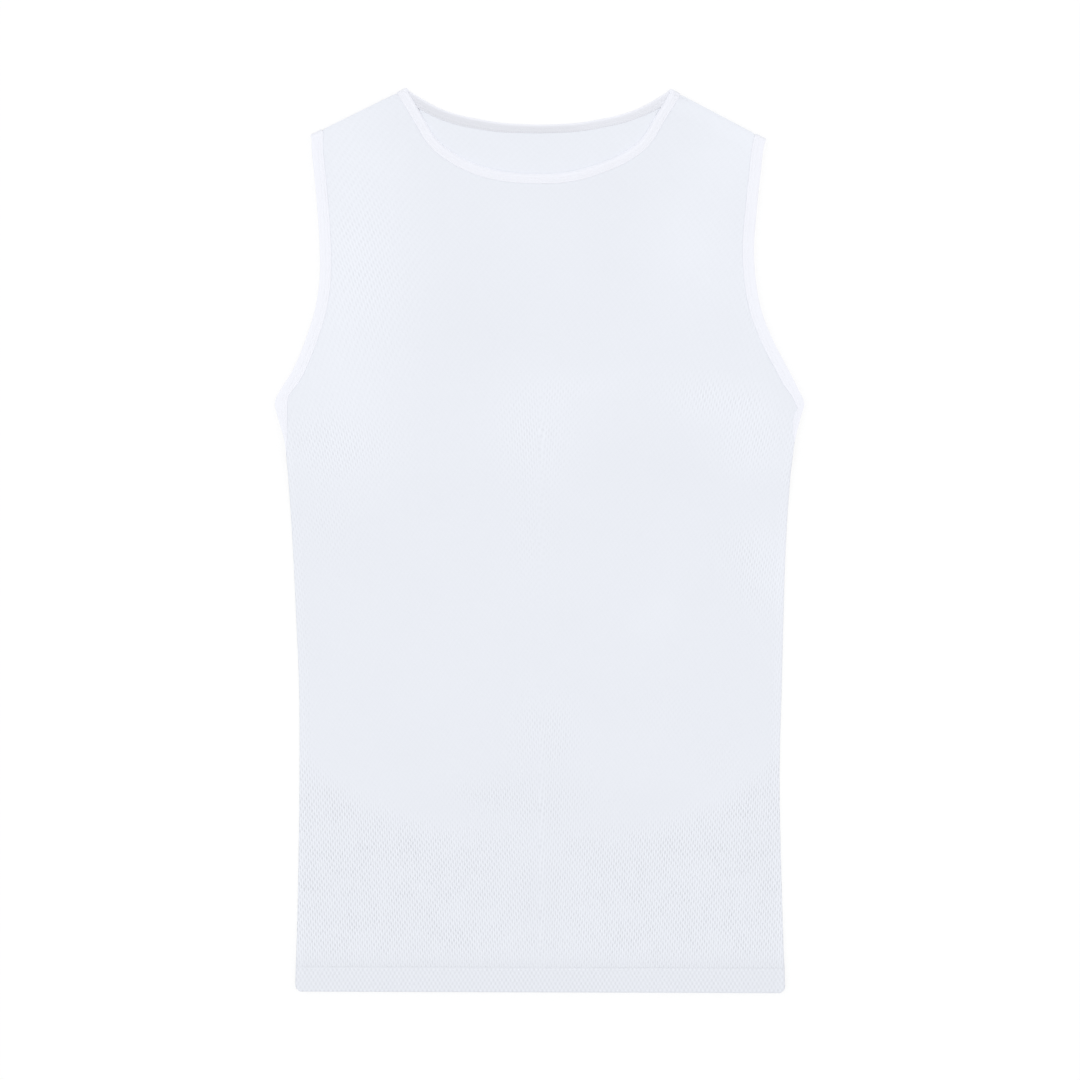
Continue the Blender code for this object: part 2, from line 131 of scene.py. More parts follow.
# Outline, in millimetres from the origin: half widths to the left and to the right
Level = namedtuple("Level", "height left right")
SHOULDER_TIP = {LEFT: Level(314.6, 176.6, 0.0), RIGHT: Level(311.0, 0.0, 174.2)}
ARMHOLE = [
    Level(302.0, 176.7, 172.3),
    Level(286.0, 175.1, 170.4),
    Level(255.0, 172.3, 167.2),
    Level(224.0, 170.5, 165.0),
    Level(200.0, 170.8, 166.6),
    Level(178.0, 174.3, 170.7),
    Level(155.0, 181.5, 179.6),
    Level(131.0, 191.7, 192.1),
    Level(114.5, 201.8, 200.4),
    Level(108.5, 204.8, 203.3),
    Level(104.6, 205.4, 204.0),
]
FLANK = [
    Level(104.6, 205.4, 204.0),
    Level(93.0, 202.3, 200.6),
    Level(78.0, 198.0, 196.9),
    Level(62.0, 196.0, 194.5),
    Level(31.0, 193.7, 191.9),
    Level(-15.0, 191.0, 189.3),
    Level(-62.0, 188.8, 187.9),
    Level(-108.0, 186.8, 186.8),
    Level(-178.0, 186.3, 185.0),
    Level(-270.0, 187.5, 186.7),
    Level(-352.0, 189.5, 189.2),
]
TAIL_MOUTH = [                      # the inner edge of the armhole bindings' tails
    Level(111.0, 194.8, 194.4),
    Level(106.0, 195.3, 196.8),
    Level(102.0, 195.4, 198.5),
    Level(97.5, 195.4, 196.2),
    Level(93.0, 195.4, 195.0),
    Level(78.0, 195.5, 194.9),
    Level(65.0, 195.5, 194.6),
]
NeckStep = namedtuple("NeckStep", "share front_left front_right back")
NECK_HALF_WIDTH = {LEFT: 104.4 * MM, RIGHT: 102.1 * MM}
NECK = [
    NeckStep(0.00, 283.9, 283.9, 321.8),
    NeckStep(0.15, 284.4, 284.4, 322.2),
    NeckStep(0.30, 286.2, 287.1, 323.3),
    NeckStep(0.45, 290.2, 292.0, 325.9),
    NeckStep(0.60, 297.3, 298.5, 329.2),
    NeckStep(0.75, 308.5, 309.0, 334.6),
    NeckStep(0.88, 329.5, 329.5, 341.9),
    NeckStep(1.00, 350.2, 349.1, 349.6),
]

Patch = namedtuple("Patch", "x y across along lean amount")
# Where the front's knit is pulled open: centre, half sizes, lean and how far it opens
OPENED = [
    Patch(-137, 212, 34, 80, 4, 0.38),
    Patch(-160, 74, 42, 26, -6, 0.52),
    Patch(-166, 14, 26, 30, 0, 0.28),
    Patch(-5, 82, 27, 34, 4, 0.42),
    Patch(22, 116, 34, 10, 8, 0.18),
    Patch(-6, 8, 17, 44, 0, 0.24),
    Patch(134, 110, 38, 16, -6, 0.44),
    Patch(164, 76, 28, 24, 20, 0.48),
    Patch(172, -26, 26, 36, 14, 0.50),
    Patch(150, -4, 20, 14, 0, 0.16),
    Patch(166, 214, 10, 54, 0, 0.42),
    Patch(4, -152, 26, 30, 0, 0.50),
    Patch(0, -206, 42, 22, 0, 0.62),
    Patch(-48, -196, 22, 14, 0, 0.26),
    Patch(94, -134, 26, 18, 10, 0.12),
    Patch(130, 232, 24, 34, 0, 0.08),
    Patch(140, -174, 22, 16, 0, 0.18),
]
# Painted highlights and painted shade on the front, in percent of its brightness; where painted
# brighter the cloth also stands up, where darker it lies lower
LIT = [
    Patch(-148, 206, 40, 108, 0, 3.8),
    Patch(167, 214, 12, 62, 0, 2.2),
    Patch(124, 230, 38, 56, 6, 2.5),
    Patch(-3, 82, 30, 38, 0, 1.8),
    Patch(40, 120, 42, 13, 6, 1.2),
    Patch(138, 108, 38, 18, -6, 2.0),
    Patch(168, 72, 28, 30, 12, 2.8),
    Patch(177, -18, 22, 36, 10, 3.0),
    Patch(-162, 66, 44, 36, 0, 1.7),
    Patch(88, -60, 24, 15, 34, 1.1),
    Patch(-64, 167, 50, 38, 8, -1.1),
    Patch(-66, 36, 42, 24, 0, -0.5),
    Patch(75, 60, 52, 20, -10, -0.6),
    Patch(18, -62, 17, 17, 0, -0.5),
    Patch(-90, -160, 30, 19, 0, -0.7),
    Patch(-26, -186, 26, 15, 12, -0.7),
    Patch(0, -202, 110, 20, 0, -0.6),
    Patch(-154, 4, 36, 30, 0, -0.6),
    Patch(0, -282, 16, 46, 0, -1.0),
    Patch(112, -256, 56, 42, 0, 1.1),
    Patch(-116, -252, 50, 42, 0, 0.6),
    Patch(-84, -206, 34, 18, 0, -0.8),
    Patch(86, -206, 30, 18, 0, -0.8),
    Patch(152, -212, 36, 16, 0, 0.6),
    Patch(156, -312, 40, 28, 0, 0.6),
    Patch(-6, 240, 30, 26, 0, 0.5),
    Patch(152, 298, 34, 28, 0, 3.0),
    Patch(-140, 298, 42, 24, 0, 1.2),
]
# Drape folds: soft ridges and troughs, the amount being their height in millimetres
CREASES = {
    FRONT: [
        Patch(-118, 62, 5.0, 58, -62, 0.34),
        Patch(-96, 24, 6.5, 74, -38, 0.42),
        Patch(104, 66, 5.5, 62, 58, 0.36),
        Patch(128, 18, 7.0, 66, 30, -0.40),
        Patch(-128, 262, 5.5, 44, -20, 0.30),
        Patch(132, 266, 6.0, 40, 22, 0.26),
        Patch(-62, -118, 9.0, 96, 8, 0.42),
        Patch(58, -168, 8.0, 84, -7, 0.38),
        Patch(2, -20, 7.0, 120, 1, 0.24),
        Patch(118, -250, 9.0, 72, -10, 0.34),
        Patch(-126, -262, 8.0, 66, 9, 0.36),
        Patch(-18, -296, 10.0, 48, 4, 0.30),
    ],
    BACK: [
        Patch(-88, 70, 7.0, 62, -40, 0.22),
        Patch(82, 84, 6.5, 58, 46, 0.24),
        Patch(-40, -140, 8.0, 88, 6, 0.26),
        Patch(66, -210, 9.0, 74, -8, 0.22),
        Patch(4, 292, 16.0, 10, 0, 0.16),
    ],
}
LIT_LIFT = 0.26 * MM                # how far the cloth stands up for a percent of painted brightness
CHEST_LIT = 0.0075                  # painted light: the chest is painted this much brighter than the belly
CHEST_FROM = 46.0 * MM
CHEST_TO = 108.0 * MM
HEM_SHADE = 0.029                    # painted shade: the hem is painted darker by this
HEM_SHADE_FROM = -1.0 * MM           # which fades out above its upper edge
HEM_SHADE_TO = 14.0 * MM
FLANK_LIT = 0.011                   # painted light: the sides are painted brighter by this, up to here from their edge
FLANK_LIT_REACH = (4.0 * MM, 8.0 * MM)
SHOULDER_LIT = 0.062                # painted highlight on the shoulder folds
SHOULDER_LIT_FROM = 1.2 * MM
SHOULDER_LIT_TO = 3.0 * MM
SHOULDER_GLOW = {LEFT: 0.009, RIGHT: 0.021}     # and painted light, a little, on the cloth beside them
SHOULDER_GLOW_FROM = 7.0 * MM
SHOULDER_GLOW_TO = 20.0 * MM
# Painted light: the back panel is painted this much brighter, against the shade that the front
# casts into the neck opening
BACK_PAINTED_LIGHT = 1.018

# How open the dimples are, from 0 to 1
OPEN_BODY = 0.105
OPEN_LOWER = 0.97
OPEN_HEM = 1.0
OPEN_HEM_BLEND = 1.0 * MM
OPEN_ABOVE_HEM = 0.66               # the row of stitching flattens the knit just above the hem
ABOVE_HEM_REACH = (4.0 * MM, 18.0 * MM)
OPEN_FLANK = 0.30
OPEN_FLANK_REACH = (4.0 * MM, 12.0 * MM)
LOWER_LINE = -227.0 * MM            # the open knit of the lower body starts here in the middle
LOWER_RISE = 54.0 * MM              # and this much higher at the sides
LOWER_HALF_WIDTH = 182.0 * MM
LOWER_BLEND = 34.0 * MM
LOWER_MIDDLE_LOSS = 0.20            # it is less open in the middle, within this width
LOWER_MIDDLE = 46.0 * MM
CENTRE_LINE_LOSS = 0.25             # and so is all the knit along the line where its slants meet
CENTRE_LINE = 5.0 * MM

# Knit lattice: dimples stand in columns, every other column half a step lower
DIMPLE_PITCH = 3.54 * MM
DIMPLE_ROW = 2.52 * MM
COLUMN_LEAN = 0.070                 # going up, columns lean outwards on each half of the shirt
COLUMN_FAN = 0.28                   # and spread by this share towards the shoulders
FAN_START = -200.0 * MM
FAN_LENGTH = 450.0 * MM
ROW_TILT_LOW = 0.10                 # low down, rows slant down towards the sides, and up high up
ROW_TILT_HIGH = -0.085
ROW_TILT_FROM = 60.0 * MM
ROW_TILT_TO = 220.0 * MM
HEM_PITCH_SCALE = 1.07
HEM_CHANGE = -0.2 * MM              # from the hem's upper edge to where its own lattice starts
HEM_BLEND = 0.25 * MM
RIB_OPENING = 0.55                  # openness at which the ribs stand out in full
RIB_WEIGHT = 2.5                    # strength of the upright ribs against the staggered dimples
WANDER = (0.0010, 0.0009, 0.0)      # the lattice wanders by up to half of this, in metres
WANDER_SCALE = 90.0                 # with this many swings a metre
UNEVEN_LEAST = 0.40                 # no two dimples are equally deep
UNEVEN_SWING = 1.2
UNEVEN_SCALE = 260.0
PATCHY_LEAST = 0.50                 # nor are two patches of them
PATCHY_SCALE = 55.0
HEM_RIB_LOSS = 0.9                  # the ribs hardly show in the hem
DIMPLE_SHADE = 0.0295               # painted shade in the dimples and painted light on the ribs, for one step of the lattice's relief
# painted light: the more open the knit, the brighter it is painted
OPEN_SHADE = -0.004

# Columns across a shoulder, in millimetres from its tip, and rows above the hem's fold
EDGE_COLUMNS = [0.0, 0.35, 0.8, 1.4, 2.1, 3.0, 3.9, 4.5, 5.1, 6.2, 7.4, 8.1, 8.9, 9.8, 11.4]
NECK_END_COLUMNS = [75.5, 77.2, 78.4, 79.2, 80.0, 81.2, 83.4, 86.0]
PLAIN_COLUMNS = 16
SHOULDER_SPAN = 86.0 * MM
NECK_COLUMNS = 54
HEM_ROWS = np.array([0.0, 0.4, 1.0, 2.0, 3.6, 6.0, 9.0, 12.0, 15.0, 16.6, 17.4, 17.9, 18.3, 18.7,
                     19.1, 19.5, 20.0, 20.6, 21.4, 22.6, 24.4, 27.0]) * MM

# Binding section: shares of the width from the fold to the mouth, and half thicknesses
SECTION_SHARES = [0.0, 0.006, 0.025, 0.06, 0.11, 0.18, 0.27, 0.36, 0.44, 0.49, 0.525, 0.555,
                  0.585, 0.62, 0.68, 0.74, 0.78, 0.815, 0.85, 0.89, 0.93, 0.965, 0.99, 1.0]
NEEDLE_LINES = (0.555, 0.815)
CROWN = 1.60 * MM
TURNED_CROWN = 1.50 * MM            # stretched over the shoulder fold the binding is thinner
MOUTH_CROWN = 1.04 * MM             # it thins to this beside its mouth
THINNING = (0.30, 0.95)             # between these shares of its width
LEAST_FULL = 0.42                   # a narrower binding is thinner, down to this share
FREE_SINK = 0.25 * MM               # the fold's outermost line lies this far below its middle
LAID_SINK = 1.54 * MM               # and this far where the front neck rests on the back panel
LEAST_ROUND = 0.35 * MM             # the fold rounds off in this and a share of its climb
ROUND_SHARE = 0.65
LAID_ROUND_SHARE = 0.90
GROOVE = 0.22 * MM                  # a needle line pulls the skin in
GROOVE_WIDTH = 0.036
LIP = 0.55 * MM                     # half the thickness left at the mouth itself
TURNED_LIP = 1.10 * MM              # over the shoulder fold the mouth stays as thick as the rest
LIP_SHARE = 0.08                    # the skins round in to the mouth over this share
HOLLOW = 0.44 * MM                  # half the space that the folded binding leaves for the panel
HOLLOW_DEPTH = 0.9 * MM             # from the fold to the hollow
HOLLOW_ROUND = 1.4                  # which has its full height at this many times that
NECK_TONE = 0.987
ARMHOLE_TONE = 1.007
INNER_SHADE = {LEFT: 0.872, RIGHT: 0.914}        # painted shade: the inner skin is painted darker, on the left more than on the right
INNER_CHANGE = (10.0 * MM, 50.0 * MM)           # from the one painted shade to the other, across the neck
INNER_FROM = 0.5 * MM               # and in full between these from the fold
INNER_TO = 2.5 * MM
RIM_LIT = 0.055                     # painted highlight on the fold itself
LAID_LIT = 0.052                    # and more painted light, and wider, where it slopes down to its support
LAID_LIT_FROM = 1.7 * MM
LAID_LIT_TO = 3.4 * MM
RIM_FROM = 0.3 * MM
RIM_TO = 1.6 * MM
TAIL_TAPER = 9.0 * MM               # a tail narrows in this to a share of its width
TAIL_TIP = 0.35

# Stitches
STITCH_LENGTH = 2.3 * MM
STITCH_STEP = 2.8 * MM
STITCH_RADIUS = 0.21 * MM
STITCH_SIDES = 6
StitchRing = namedtuple("StitchRing", "share size drop")
# Rings along a stitch: its thread is thinner and pulled in at both ends
STITCH_RINGS = [StitchRing(0.0, 0.3, 1.0), StitchRing(0.14, 0.85, 0.35), StitchRing(0.5, 1.0, 0.0),
                StitchRing(0.86, 0.85, 0.35), StitchRing(1.0, 0.3, 1.0)]
STITCH_POINTS = len(STITCH_RINGS) * STITCH_SIDES
STITCH_LIFT = 0.05 * MM
SEWN_WIDTH = 0.45 * ARMHOLE_BAND    # a tail narrower than this carries no twin rows
HEM_STITCH_LIFT = -0.07 * MM
HEM_NEEDLE = 18.3 * MM              # from the hem's edge to its needle line
HEM_NEEDLE_ENDS_MM = 182.0          # which runs from this far left to this far right
HEM_NEEDLE_STEP_MM = 2.0
HEM_GROOVE = 0.02 * MM
HEM_GROOVE_WIDTH = 0.9 * MM

# Needle marks on the inner skin of a binding: a row between two edges from the fold
MARKS_START = (5.7 * MM, 6.2 * MM)
MARKS_END = (6.9 * MM, 7.4 * MM)
MARKS_PITCH = 1.75 * MM
MARKS_SHADE = 0.06

# The yarn's own loops: how many to their width up a column, their slant and the column's relief
LOOP_RATE = 1.25
LOOP_SLANT = 0.22
LOOP_COLUMN = 0.6
MESH_LOOP = DIMPLE_PITCH / 4
MESH_LOOP_HEIGHT = 0.12
DIMPLE_HEIGHT = 0.30
BAND_LOOP = 0.62 * MM
BAND_LOOP_HEIGHT = 0.25

# Linear colours and finishes; the bump is the depth of a material's full height
YARN = (0.792, 0.812, 0.861)
BAND_YARN = (0.871, 0.879, 0.930)
BAND_SHADE = 0.995
THREAD = (0.870, 0.885, 0.930)
TWIST_SCALE = 2600.0
TWIST_SHADE = 0.96
TWIST_LIT = 0.08
Finish = namedtuple("Finish", "roughness sheen bump")
MESH_FINISH = Finish(0.88, 0.30, 0.13 * MM)
BAND_FINISH = Finish(0.82, 0.30, 0.07 * MM)
THREAD_FINISH = Finish(0.6, 0.05, 0.05 * MM)
SHEEN_ROUGHNESS = 0.45
SPECULAR_LEVEL = 0.25
MESH_UNEVENNESS = 0.035             # swing of the cloth's brightness, slow and in its lint
BAND_UNEVENNESS = 0.02
SLOW_SCALE = 14.0
LINT_SCALE = 420.0
LINT_SHARE = 0.4


# ---------------------------------------------------------------- curves in the plane


def spline(knots, pieces=10):
    """A smooth path through the knots."""
    knots = np.array(knots, float)
    steps = np.diff(knots, axis=0)
    chords = np.linalg.norm(steps, axis=1)[:, None]
    slopes = steps / chords
    inner = (slopes[:-1] * chords[1:] + slopes[1:] * chords[:-1]) / (chords[:-1] + chords[1:])
    tangents = np.vstack([slopes[:1], inner, slopes[-1:]])
    t = np.arange(pieces)[:, None] / pieces
    path = [knots[i] * (2 * t**3 - 3 * t**2 + 1) + knots[i + 1] * (3 * t**2 - 2 * t**3)
            + tangents[i] * chords[i] * (t**3 - 2 * t**2 + t)
            + tangents[i + 1] * chords[i] * (t**3 - t**2) for i in range(len(chords))]
    return np.vstack(path + [knots[-1:]])


def lengths_along(path):
    """Length travelled at each point."""
    steps = np.linalg.norm(np.diff(path, axis=0), axis=1)
    return np.concatenate([[0.0], np.cumsum(steps)])


def at_lengths(path, wanted):
    """Points at the wanted lengths along a path, in the plane or in space."""
    lengths = lengths_along(path)
    return np.column_stack([np.interp(wanted, lengths, path[:, k]) for k in range(path.shape[1])])


def at_shares(path, shares):
    return at_lengths(path, np.array(shares) * lengths_along(path)[-1])


def evenly(path, spacing):
    count = max(2, round(lengths_along(path)[-1] / spacing))
    return at_shares(path, np.linspace(0.0, 1.0, count + 1))


def shares_of(path):
    lengths = lengths_along(path)
    return lengths / lengths[-1]


def directions_along(path):
    """Unit direction of travel at each point."""
    travel = np.gradient(path, axis=0)
    return travel / np.linalg.norm(travel, axis=1)[:, None]


def beside(directions, hand):
    """Unit directions square to the travel, on one hand of it."""
    return np.column_stack([directions[:, 1], -directions[:, 0]]) * hand


def nearest(points, path):
    """Distance from every point to a path, and the nearest places on the path."""
    best = np.full(len(points), np.inf)
    feet = np.zeros_like(points)
    for start, step in zip(path[:-1], np.diff(path, axis=0)):
        t = np.clip((points - start) @ step / (step @ step), 0.0, 1.0)
        places = start + t[:, None] * step
        distances = np.linalg.norm(points - places, axis=1)
        closer = distances < best
        best[closer] = distances[closer]
        feet[closer] = places[closer]
    return best, feet


def ease(value, low, high):
    """0 below low, 1 above high and a smooth step between."""
    t = np.clip((value - low) / (high - low), 0.0, 1.0)
    return t * t * (3.0 - 2.0 * t)


# ---------------------------------------------------------------- the outline


def half_width(level, side):
    return level.left if side == LEFT else level.right


def outline(levels, side):
    return spline([(side * half_width(row, side) * MM, row.height * MM) for row in levels])


def neck_knot(row, side, face):
    """One row of the neck's table as a point of the front's or the back's edge."""
    height = row.back
    if face == FRONT:
        height = row.front_left if side == LEFT else row.front_right
    return side * row.share * NECK_HALF_WIDTH[side], height * MM


def neckline(face):
    """The neck edge of the front or the back, from left to right."""
    left = [neck_knot(row, LEFT, face) for row in NECK[:0:-1]]
    return spline(left + [neck_knot(row, RIGHT, face) for row in NECK])


class Shoulder:
    """The straight fold over one shoulder, from the tip to the neck."""

    def __init__(self, side):
        tip = SHOULDER_TIP[side]
        self.tip = np.array([side * half_width(tip, side), tip.height]) * MM
        self.neck = np.array(neck_knot(NECK[-1], side, FRONT))
        self.along = (self.neck - self.tip) / np.linalg.norm(self.neck - self.tip)
        self.out = np.array([self.along[1], -self.along[0]]) * side

    def cut(self, path):
        """A path that starts at the shoulder's outline, from the fold's axis onwards."""
        depths = (self.tip - path) @ self.out - SHOULDER_DEPTH
        i = int(np.argmax(depths > 0))
        t = -depths[i - 1] / (depths[i] - depths[i - 1])
        return np.vstack([path[i - 1] + (path[i] - path[i - 1]) * t, path[i:]])


SHOULDERS = {side: Shoulder(side) for side in SIDES}
ARMHOLE_EDGE = {side: SHOULDERS[side].cut(outline([SHOULDER_TIP[side]] + ARMHOLE, side))
                for side in SIDES}
FLANK_EDGE = {side: outline(FLANK, side) for side in SIDES}
NECK_EDGE = {face: SHOULDERS[RIGHT].cut(SHOULDERS[LEFT].cut(neckline(face))[::-1])[::-1]
             for face in (FRONT, BACK)}


def stretch_of_flank(side, low, high):
    """The flank's edge between two heights, running down."""
    flank = FLANK_EDGE[side]
    heights = [high] + [y for y in flank[:, 1] if low < y < high] + [low]
    return np.column_stack([np.interp(heights, flank[::-1, 1], flank[::-1, 0]), heights])


TAIL_EDGE = {side: stretch_of_flank(side, TAIL_END[side], FLANK_EDGE[side][0, 1])
             for side in SIDES}
SIDE_FOLDS = [edge for side in SIDES for edge in (
    ARMHOLE_EDGE[side], TAIL_EDGE[side], np.array([SHOULDERS[side].tip, SHOULDERS[side].neck]))]


# ---------------------------------------------------------------- how the layers lie


def hem_line(x):
    """The hem's lower edge is straight and slightly slanted."""
    t = (x / MM + FLANK[-1].left) / (FLANK[-1].left + FLANK[-1].right)
    return HEM_BOTTOM[LEFT] + (HEM_BOTTOM[RIGHT] - HEM_BOTTOM[LEFT]) * t


def corner_rise(distance):
    """How far a rounded hem corner lifts the lower edge at a distance from the side."""
    inside = np.maximum(HEM_CORNER - distance, 0.0)
    return HEM_CORNER - np.sqrt(HEM_CORNER**2 - inside**2)


def bound(distance, fall):
    """1 beside a bound edge, and 0 where the cloth has sunk to its flat height."""
    return 1.0 - ease(distance, EDGE_FLAT, EDGE_FLAT + fall)


def to_side_folds(points):
    return np.min([nearest(points, path)[0] for path in SIDE_FOLDS], axis=0)


def to_flank(points):
    """Distance to the nearer side of the panels, below the armholes."""
    return np.min([nearest(points, FLANK_EDGE[side])[0] for side in SIDES], axis=0)


def patch_field(points, patches):
    """The sum of soft patches at every point."""
    total = np.zeros(len(points))
    for patch in patches:
        lean = radians(patch.lean)
        offset = points / MM - (patch.x, patch.y)
        across = offset @ (cos(lean), sin(lean)) / patch.across
        along = offset @ (-sin(lean), cos(lean)) / patch.along
        total += patch.amount * np.exp(-across**2 - along**2)
    return total


def fullness(width):
    """A narrower binding is thinner."""
    return min(1.0, LEAST_FULL + (1.0 - LEAST_FULL) * width / ARMHOLE_BAND)


def thinned(crown, mouth_crown, share):
    """Half the thickness of a binding at a share of its width from the fold."""
    return crown + (mouth_crown - crown) * ease(share, *THINNING)


def front_neck_height(points):
    """The front neck binding lies on the back one, and past that sinks onto the back panel."""
    distance = nearest(points, NECK_EDGE[BACK])[0]
    full = fullness(NECK_BAND)
    panel = back_height(points) + CLOTH / 2
    binding = BACK_BOUND + full * thinned(CROWN, MOUTH_CROWN, distance / NECK_BAND)
    share = 1.0 - ease(distance, NECK_BAND - NECK_LEAD, NECK_BAND + NECK_FALL)
    laid = panel + (binding - panel) * share + CONTACT_GAP + full * CROWN
    return laid + (FRONT_BOUND - laid) * (1.0 - ease(distance, 0.0, NECK_SETTLE))


def above_hem(points):
    """Height above the upper edge of the turned-up hem."""
    return points[:, 1] - hem_line(points[:, 0]) - HEM_TURN_UP


def back_height(points):
    """Middle of the back panel's main layer."""
    near_side = to_side_folds(points)
    near = np.minimum(near_side, nearest(points, NECK_EDGE[BACK])[0])
    drape = patch_field(points, CREASES[BACK]) * MM * ease(near, EDGE_FLAT, 2 * EDGE_FLAT)
    return BACK_FLAT + (BACK_BOUND - BACK_FLAT) * bound(near, BACK_FALL) + np.maximum(drape, 0.0)


def front_height(points):
    """Middle of the front panel's main layer, with its soft drape."""
    near_side = to_side_folds(points)
    near_neck, feet = nearest(points, NECK_EDGE[FRONT])
    side = bound(near_side, FRONT_FALL) * (FRONT_BOUND - FRONT_FLAT)
    neck_height = front_neck_height(feet)
    neck = bound(near_neck, FRONT_FALL) * (neck_height - FRONT_FLAT)
    hem_distance = above_hem(points) + EDGE_FLAT - SEAM_GAP
    hem = bound(hem_distance, FRONT_FALL) * (FRONT_HEM - FRONT_FLAT)
    free = ease(np.minimum(near_side, near_neck), EDGE_FLAT, 3 * EDGE_FLAT)
    drape = patch_field(points, CREASES[FRONT]) * MM + patch_field(points, LIT) * LIT_LIFT
    height = FRONT_FLAT + np.maximum.reduce([side, neck, hem]) + drape * free
    beside_neck = 1.0 - ease(near_neck, NECK_BAND, NECK_RELEASE)
    height = height + np.minimum(neck_height - height, 0.0) * beside_neck
    return np.maximum(height, back_height(points) + LAYER)


HEIGHT = {FRONT: front_height, BACK: back_height}


def openness(points):
    """How far the dimples of the knit are pulled open."""
    x, y = points.T
    line = LOWER_LINE + LOWER_RISE * np.abs(x / LOWER_HALF_WIDTH) ** 3
    lower = 1.0 - ease(y, line - LOWER_BLEND / 2, line + LOWER_BLEND / 2)
    middle = 1.0 - LOWER_MIDDLE_LOSS * np.exp(-(x / LOWER_MIDDLE) ** 2)
    flank = OPEN_FLANK * (1.0 - ease(to_flank(points), *OPEN_FLANK_REACH))
    body = OPEN_BODY + np.maximum(patch_field(points, OPENED), flank)
    value = body + np.maximum(OPEN_LOWER * middle - body, 0.0) * lower
    value = value * (1.0 - CENTRE_LINE_LOSS * np.exp(-(x / CENTRE_LINE) ** 2))
    up = above_hem(points)
    value = value * (1.0 - (1.0 - OPEN_ABOVE_HEM) * (1.0 - ease(up, *ABOVE_HEM_REACH)))
    hem = 1.0 - ease(up, -OPEN_HEM_BLEND, OPEN_HEM_BLEND)
    return value + (OPEN_HEM - value) * hem


def shoulder_lit(points):
    """Painted light at a shoulder, most of all where the cloth folds over."""
    lit = []
    for side in SIDES:
        depth = (SHOULDERS[side].tip - points) @ SHOULDERS[side].out
        fold = 1.0 - ease(depth, SHOULDER_LIT_FROM, SHOULDER_LIT_TO)
        wide = 1.0 - ease(depth, SHOULDER_GLOW_FROM, SHOULDER_GLOW_TO)
        lit.append(SHOULDER_LIT * fold + SHOULDER_GLOW[side] * wide)
    return np.maximum(*lit)


def glow(points):
    """Painted light and shade of the front relative to its colour: patches, brighter sides and
    chest, and a darker hem.
    """
    flank = FLANK_LIT * (1.0 - ease(to_flank(points), *FLANK_LIT_REACH))
    chest = CHEST_LIT * ease(points[:, 1], CHEST_FROM, CHEST_TO)
    hem = HEM_SHADE * (1.0 - ease(above_hem(points), HEM_SHADE_FROM, HEM_SHADE_TO))
    return 1.0 + patch_field(points, LIT) / 100.0 + flank + chest - hem


def knit_place(points):
    """Where each point lies on the knit's own lattice, in metres along rows and columns."""
    x, y = points.T
    out = np.abs(x)
    fan = np.clip((y - FAN_START) / FAN_LENGTH, 0.0, None)
    tilt = ROW_TILT_LOW + (ROW_TILT_HIGH - ROW_TILT_LOW) * ease(y, ROW_TILT_FROM, ROW_TILT_TO)
    body = np.column_stack([out * (1.0 - COLUMN_FAN * fan**2) - COLUMN_LEAN * y,
                            y + out * tilt])
    hem = points * (HEM_PITCH_SCALE, 1.0 / HEM_PITCH_SCALE)
    in_hem = (above_hem(points) < HEM_CHANGE)[:, None]
    return np.where(in_hem, hem, body)


# ---------------------------------------------------------------- meshes


def mesh_object(name, points, faces, material, attributes):
    """A smooth mesh object with its own attributes at its points."""
    mesh = bpy.data.meshes.new(name)
    mesh.from_pydata(np.asarray(points).tolist(), [], [list(face) for face in faces])
    mesh.shade_smooth()
    for label, values in attributes:
        values = np.asarray(values, float)
        kind = "FLOAT_VECTOR" if values.ndim == 2 else "FLOAT"
        layer = mesh.attributes.new(label, kind, "POINT")
        layer.data.foreach_set("vector" if values.ndim == 2 else "value", values.ravel())
    mesh.materials.append(material)
    piece = bpy.data.objects.new(name, mesh)
    bpy.context.scene.collection.objects.link(piece)
    return piece


def grid_faces(rows, columns):
    """Quads of a grid of points that is stored row by row."""
    number = np.arange(rows * columns).reshape(rows, columns)
    corners = [number[:-1, :-1], number[:-1, 1:], number[1:, 1:], number[1:, :-1]]
    return np.stack([corner.ravel() for corner in corners], axis=1)


def open_edges(faces):
    """The directed edges that only one face uses."""
    pairs = np.vstack([faces[:, [k, (k + 1) % 4]] for k in range(4)])
    used = set(map(tuple, pairs.tolist()))
    return np.array([pair for pair in pairs.tolist() if (pair[1], pair[0]) not in used])


def thickened(middle, normals, half, faces):
    """A closed shell round a sheet: its two skins and the walls along its open edges."""
    edges = open_edges(faces)
    shift = len(middle)
    walls = np.column_stack([edges[:, 1], edges[:, 0], edges[:, 0] + shift, edges[:, 1] + shift])
    points = np.vstack([middle + normals * half, middle - normals * half])
    return points, np.vstack([faces, faces[:, ::-1] + shift, walls])


# ---------------------------------------------------------------- panels


def bound_inset(side, path):
    """How far the panel's edge lies inside the outline, at heights along its side."""
    end = TAIL_END[side]
    return EDGE_INSET * ease(path[:, 1], end - INSET_BELOW, end + INSET_ABOVE)


def panel_side(side):
    """One side of a panel, from the top of the hem rows to the axis of the shoulder fold."""
    start = hem_line(side * half_width(FLANK[-1], side) * MM) + LAYER + HEM_ROWS[-1]
    path = np.vstack([stretch_of_flank(side, start, FLANK_EDGE[side][0, 1])[::-1],
                      ARMHOLE_EDGE[side][::-1][1:]])
    points = evenly(path, GRID)
    inward = beside(directions_along(points), -side)
    points = points + inward * bound_inset(side, points)[:, None]
    points[-1] = shoulder_row(side, [0.0])[0]
    return points


def shoulder_axis_depth(from_tip, from_neck):
    """The fold's axis lies nearer the outline between the bindings, where the cloth bulges."""
    clear = np.minimum(from_tip - ARMHOLE_BAND, from_neck - NECK_BAND)
    return SHOULDER_DEPTH - SHOULDER_BULGE * ease(clear, BULGE_FROM, BULGE_TO)


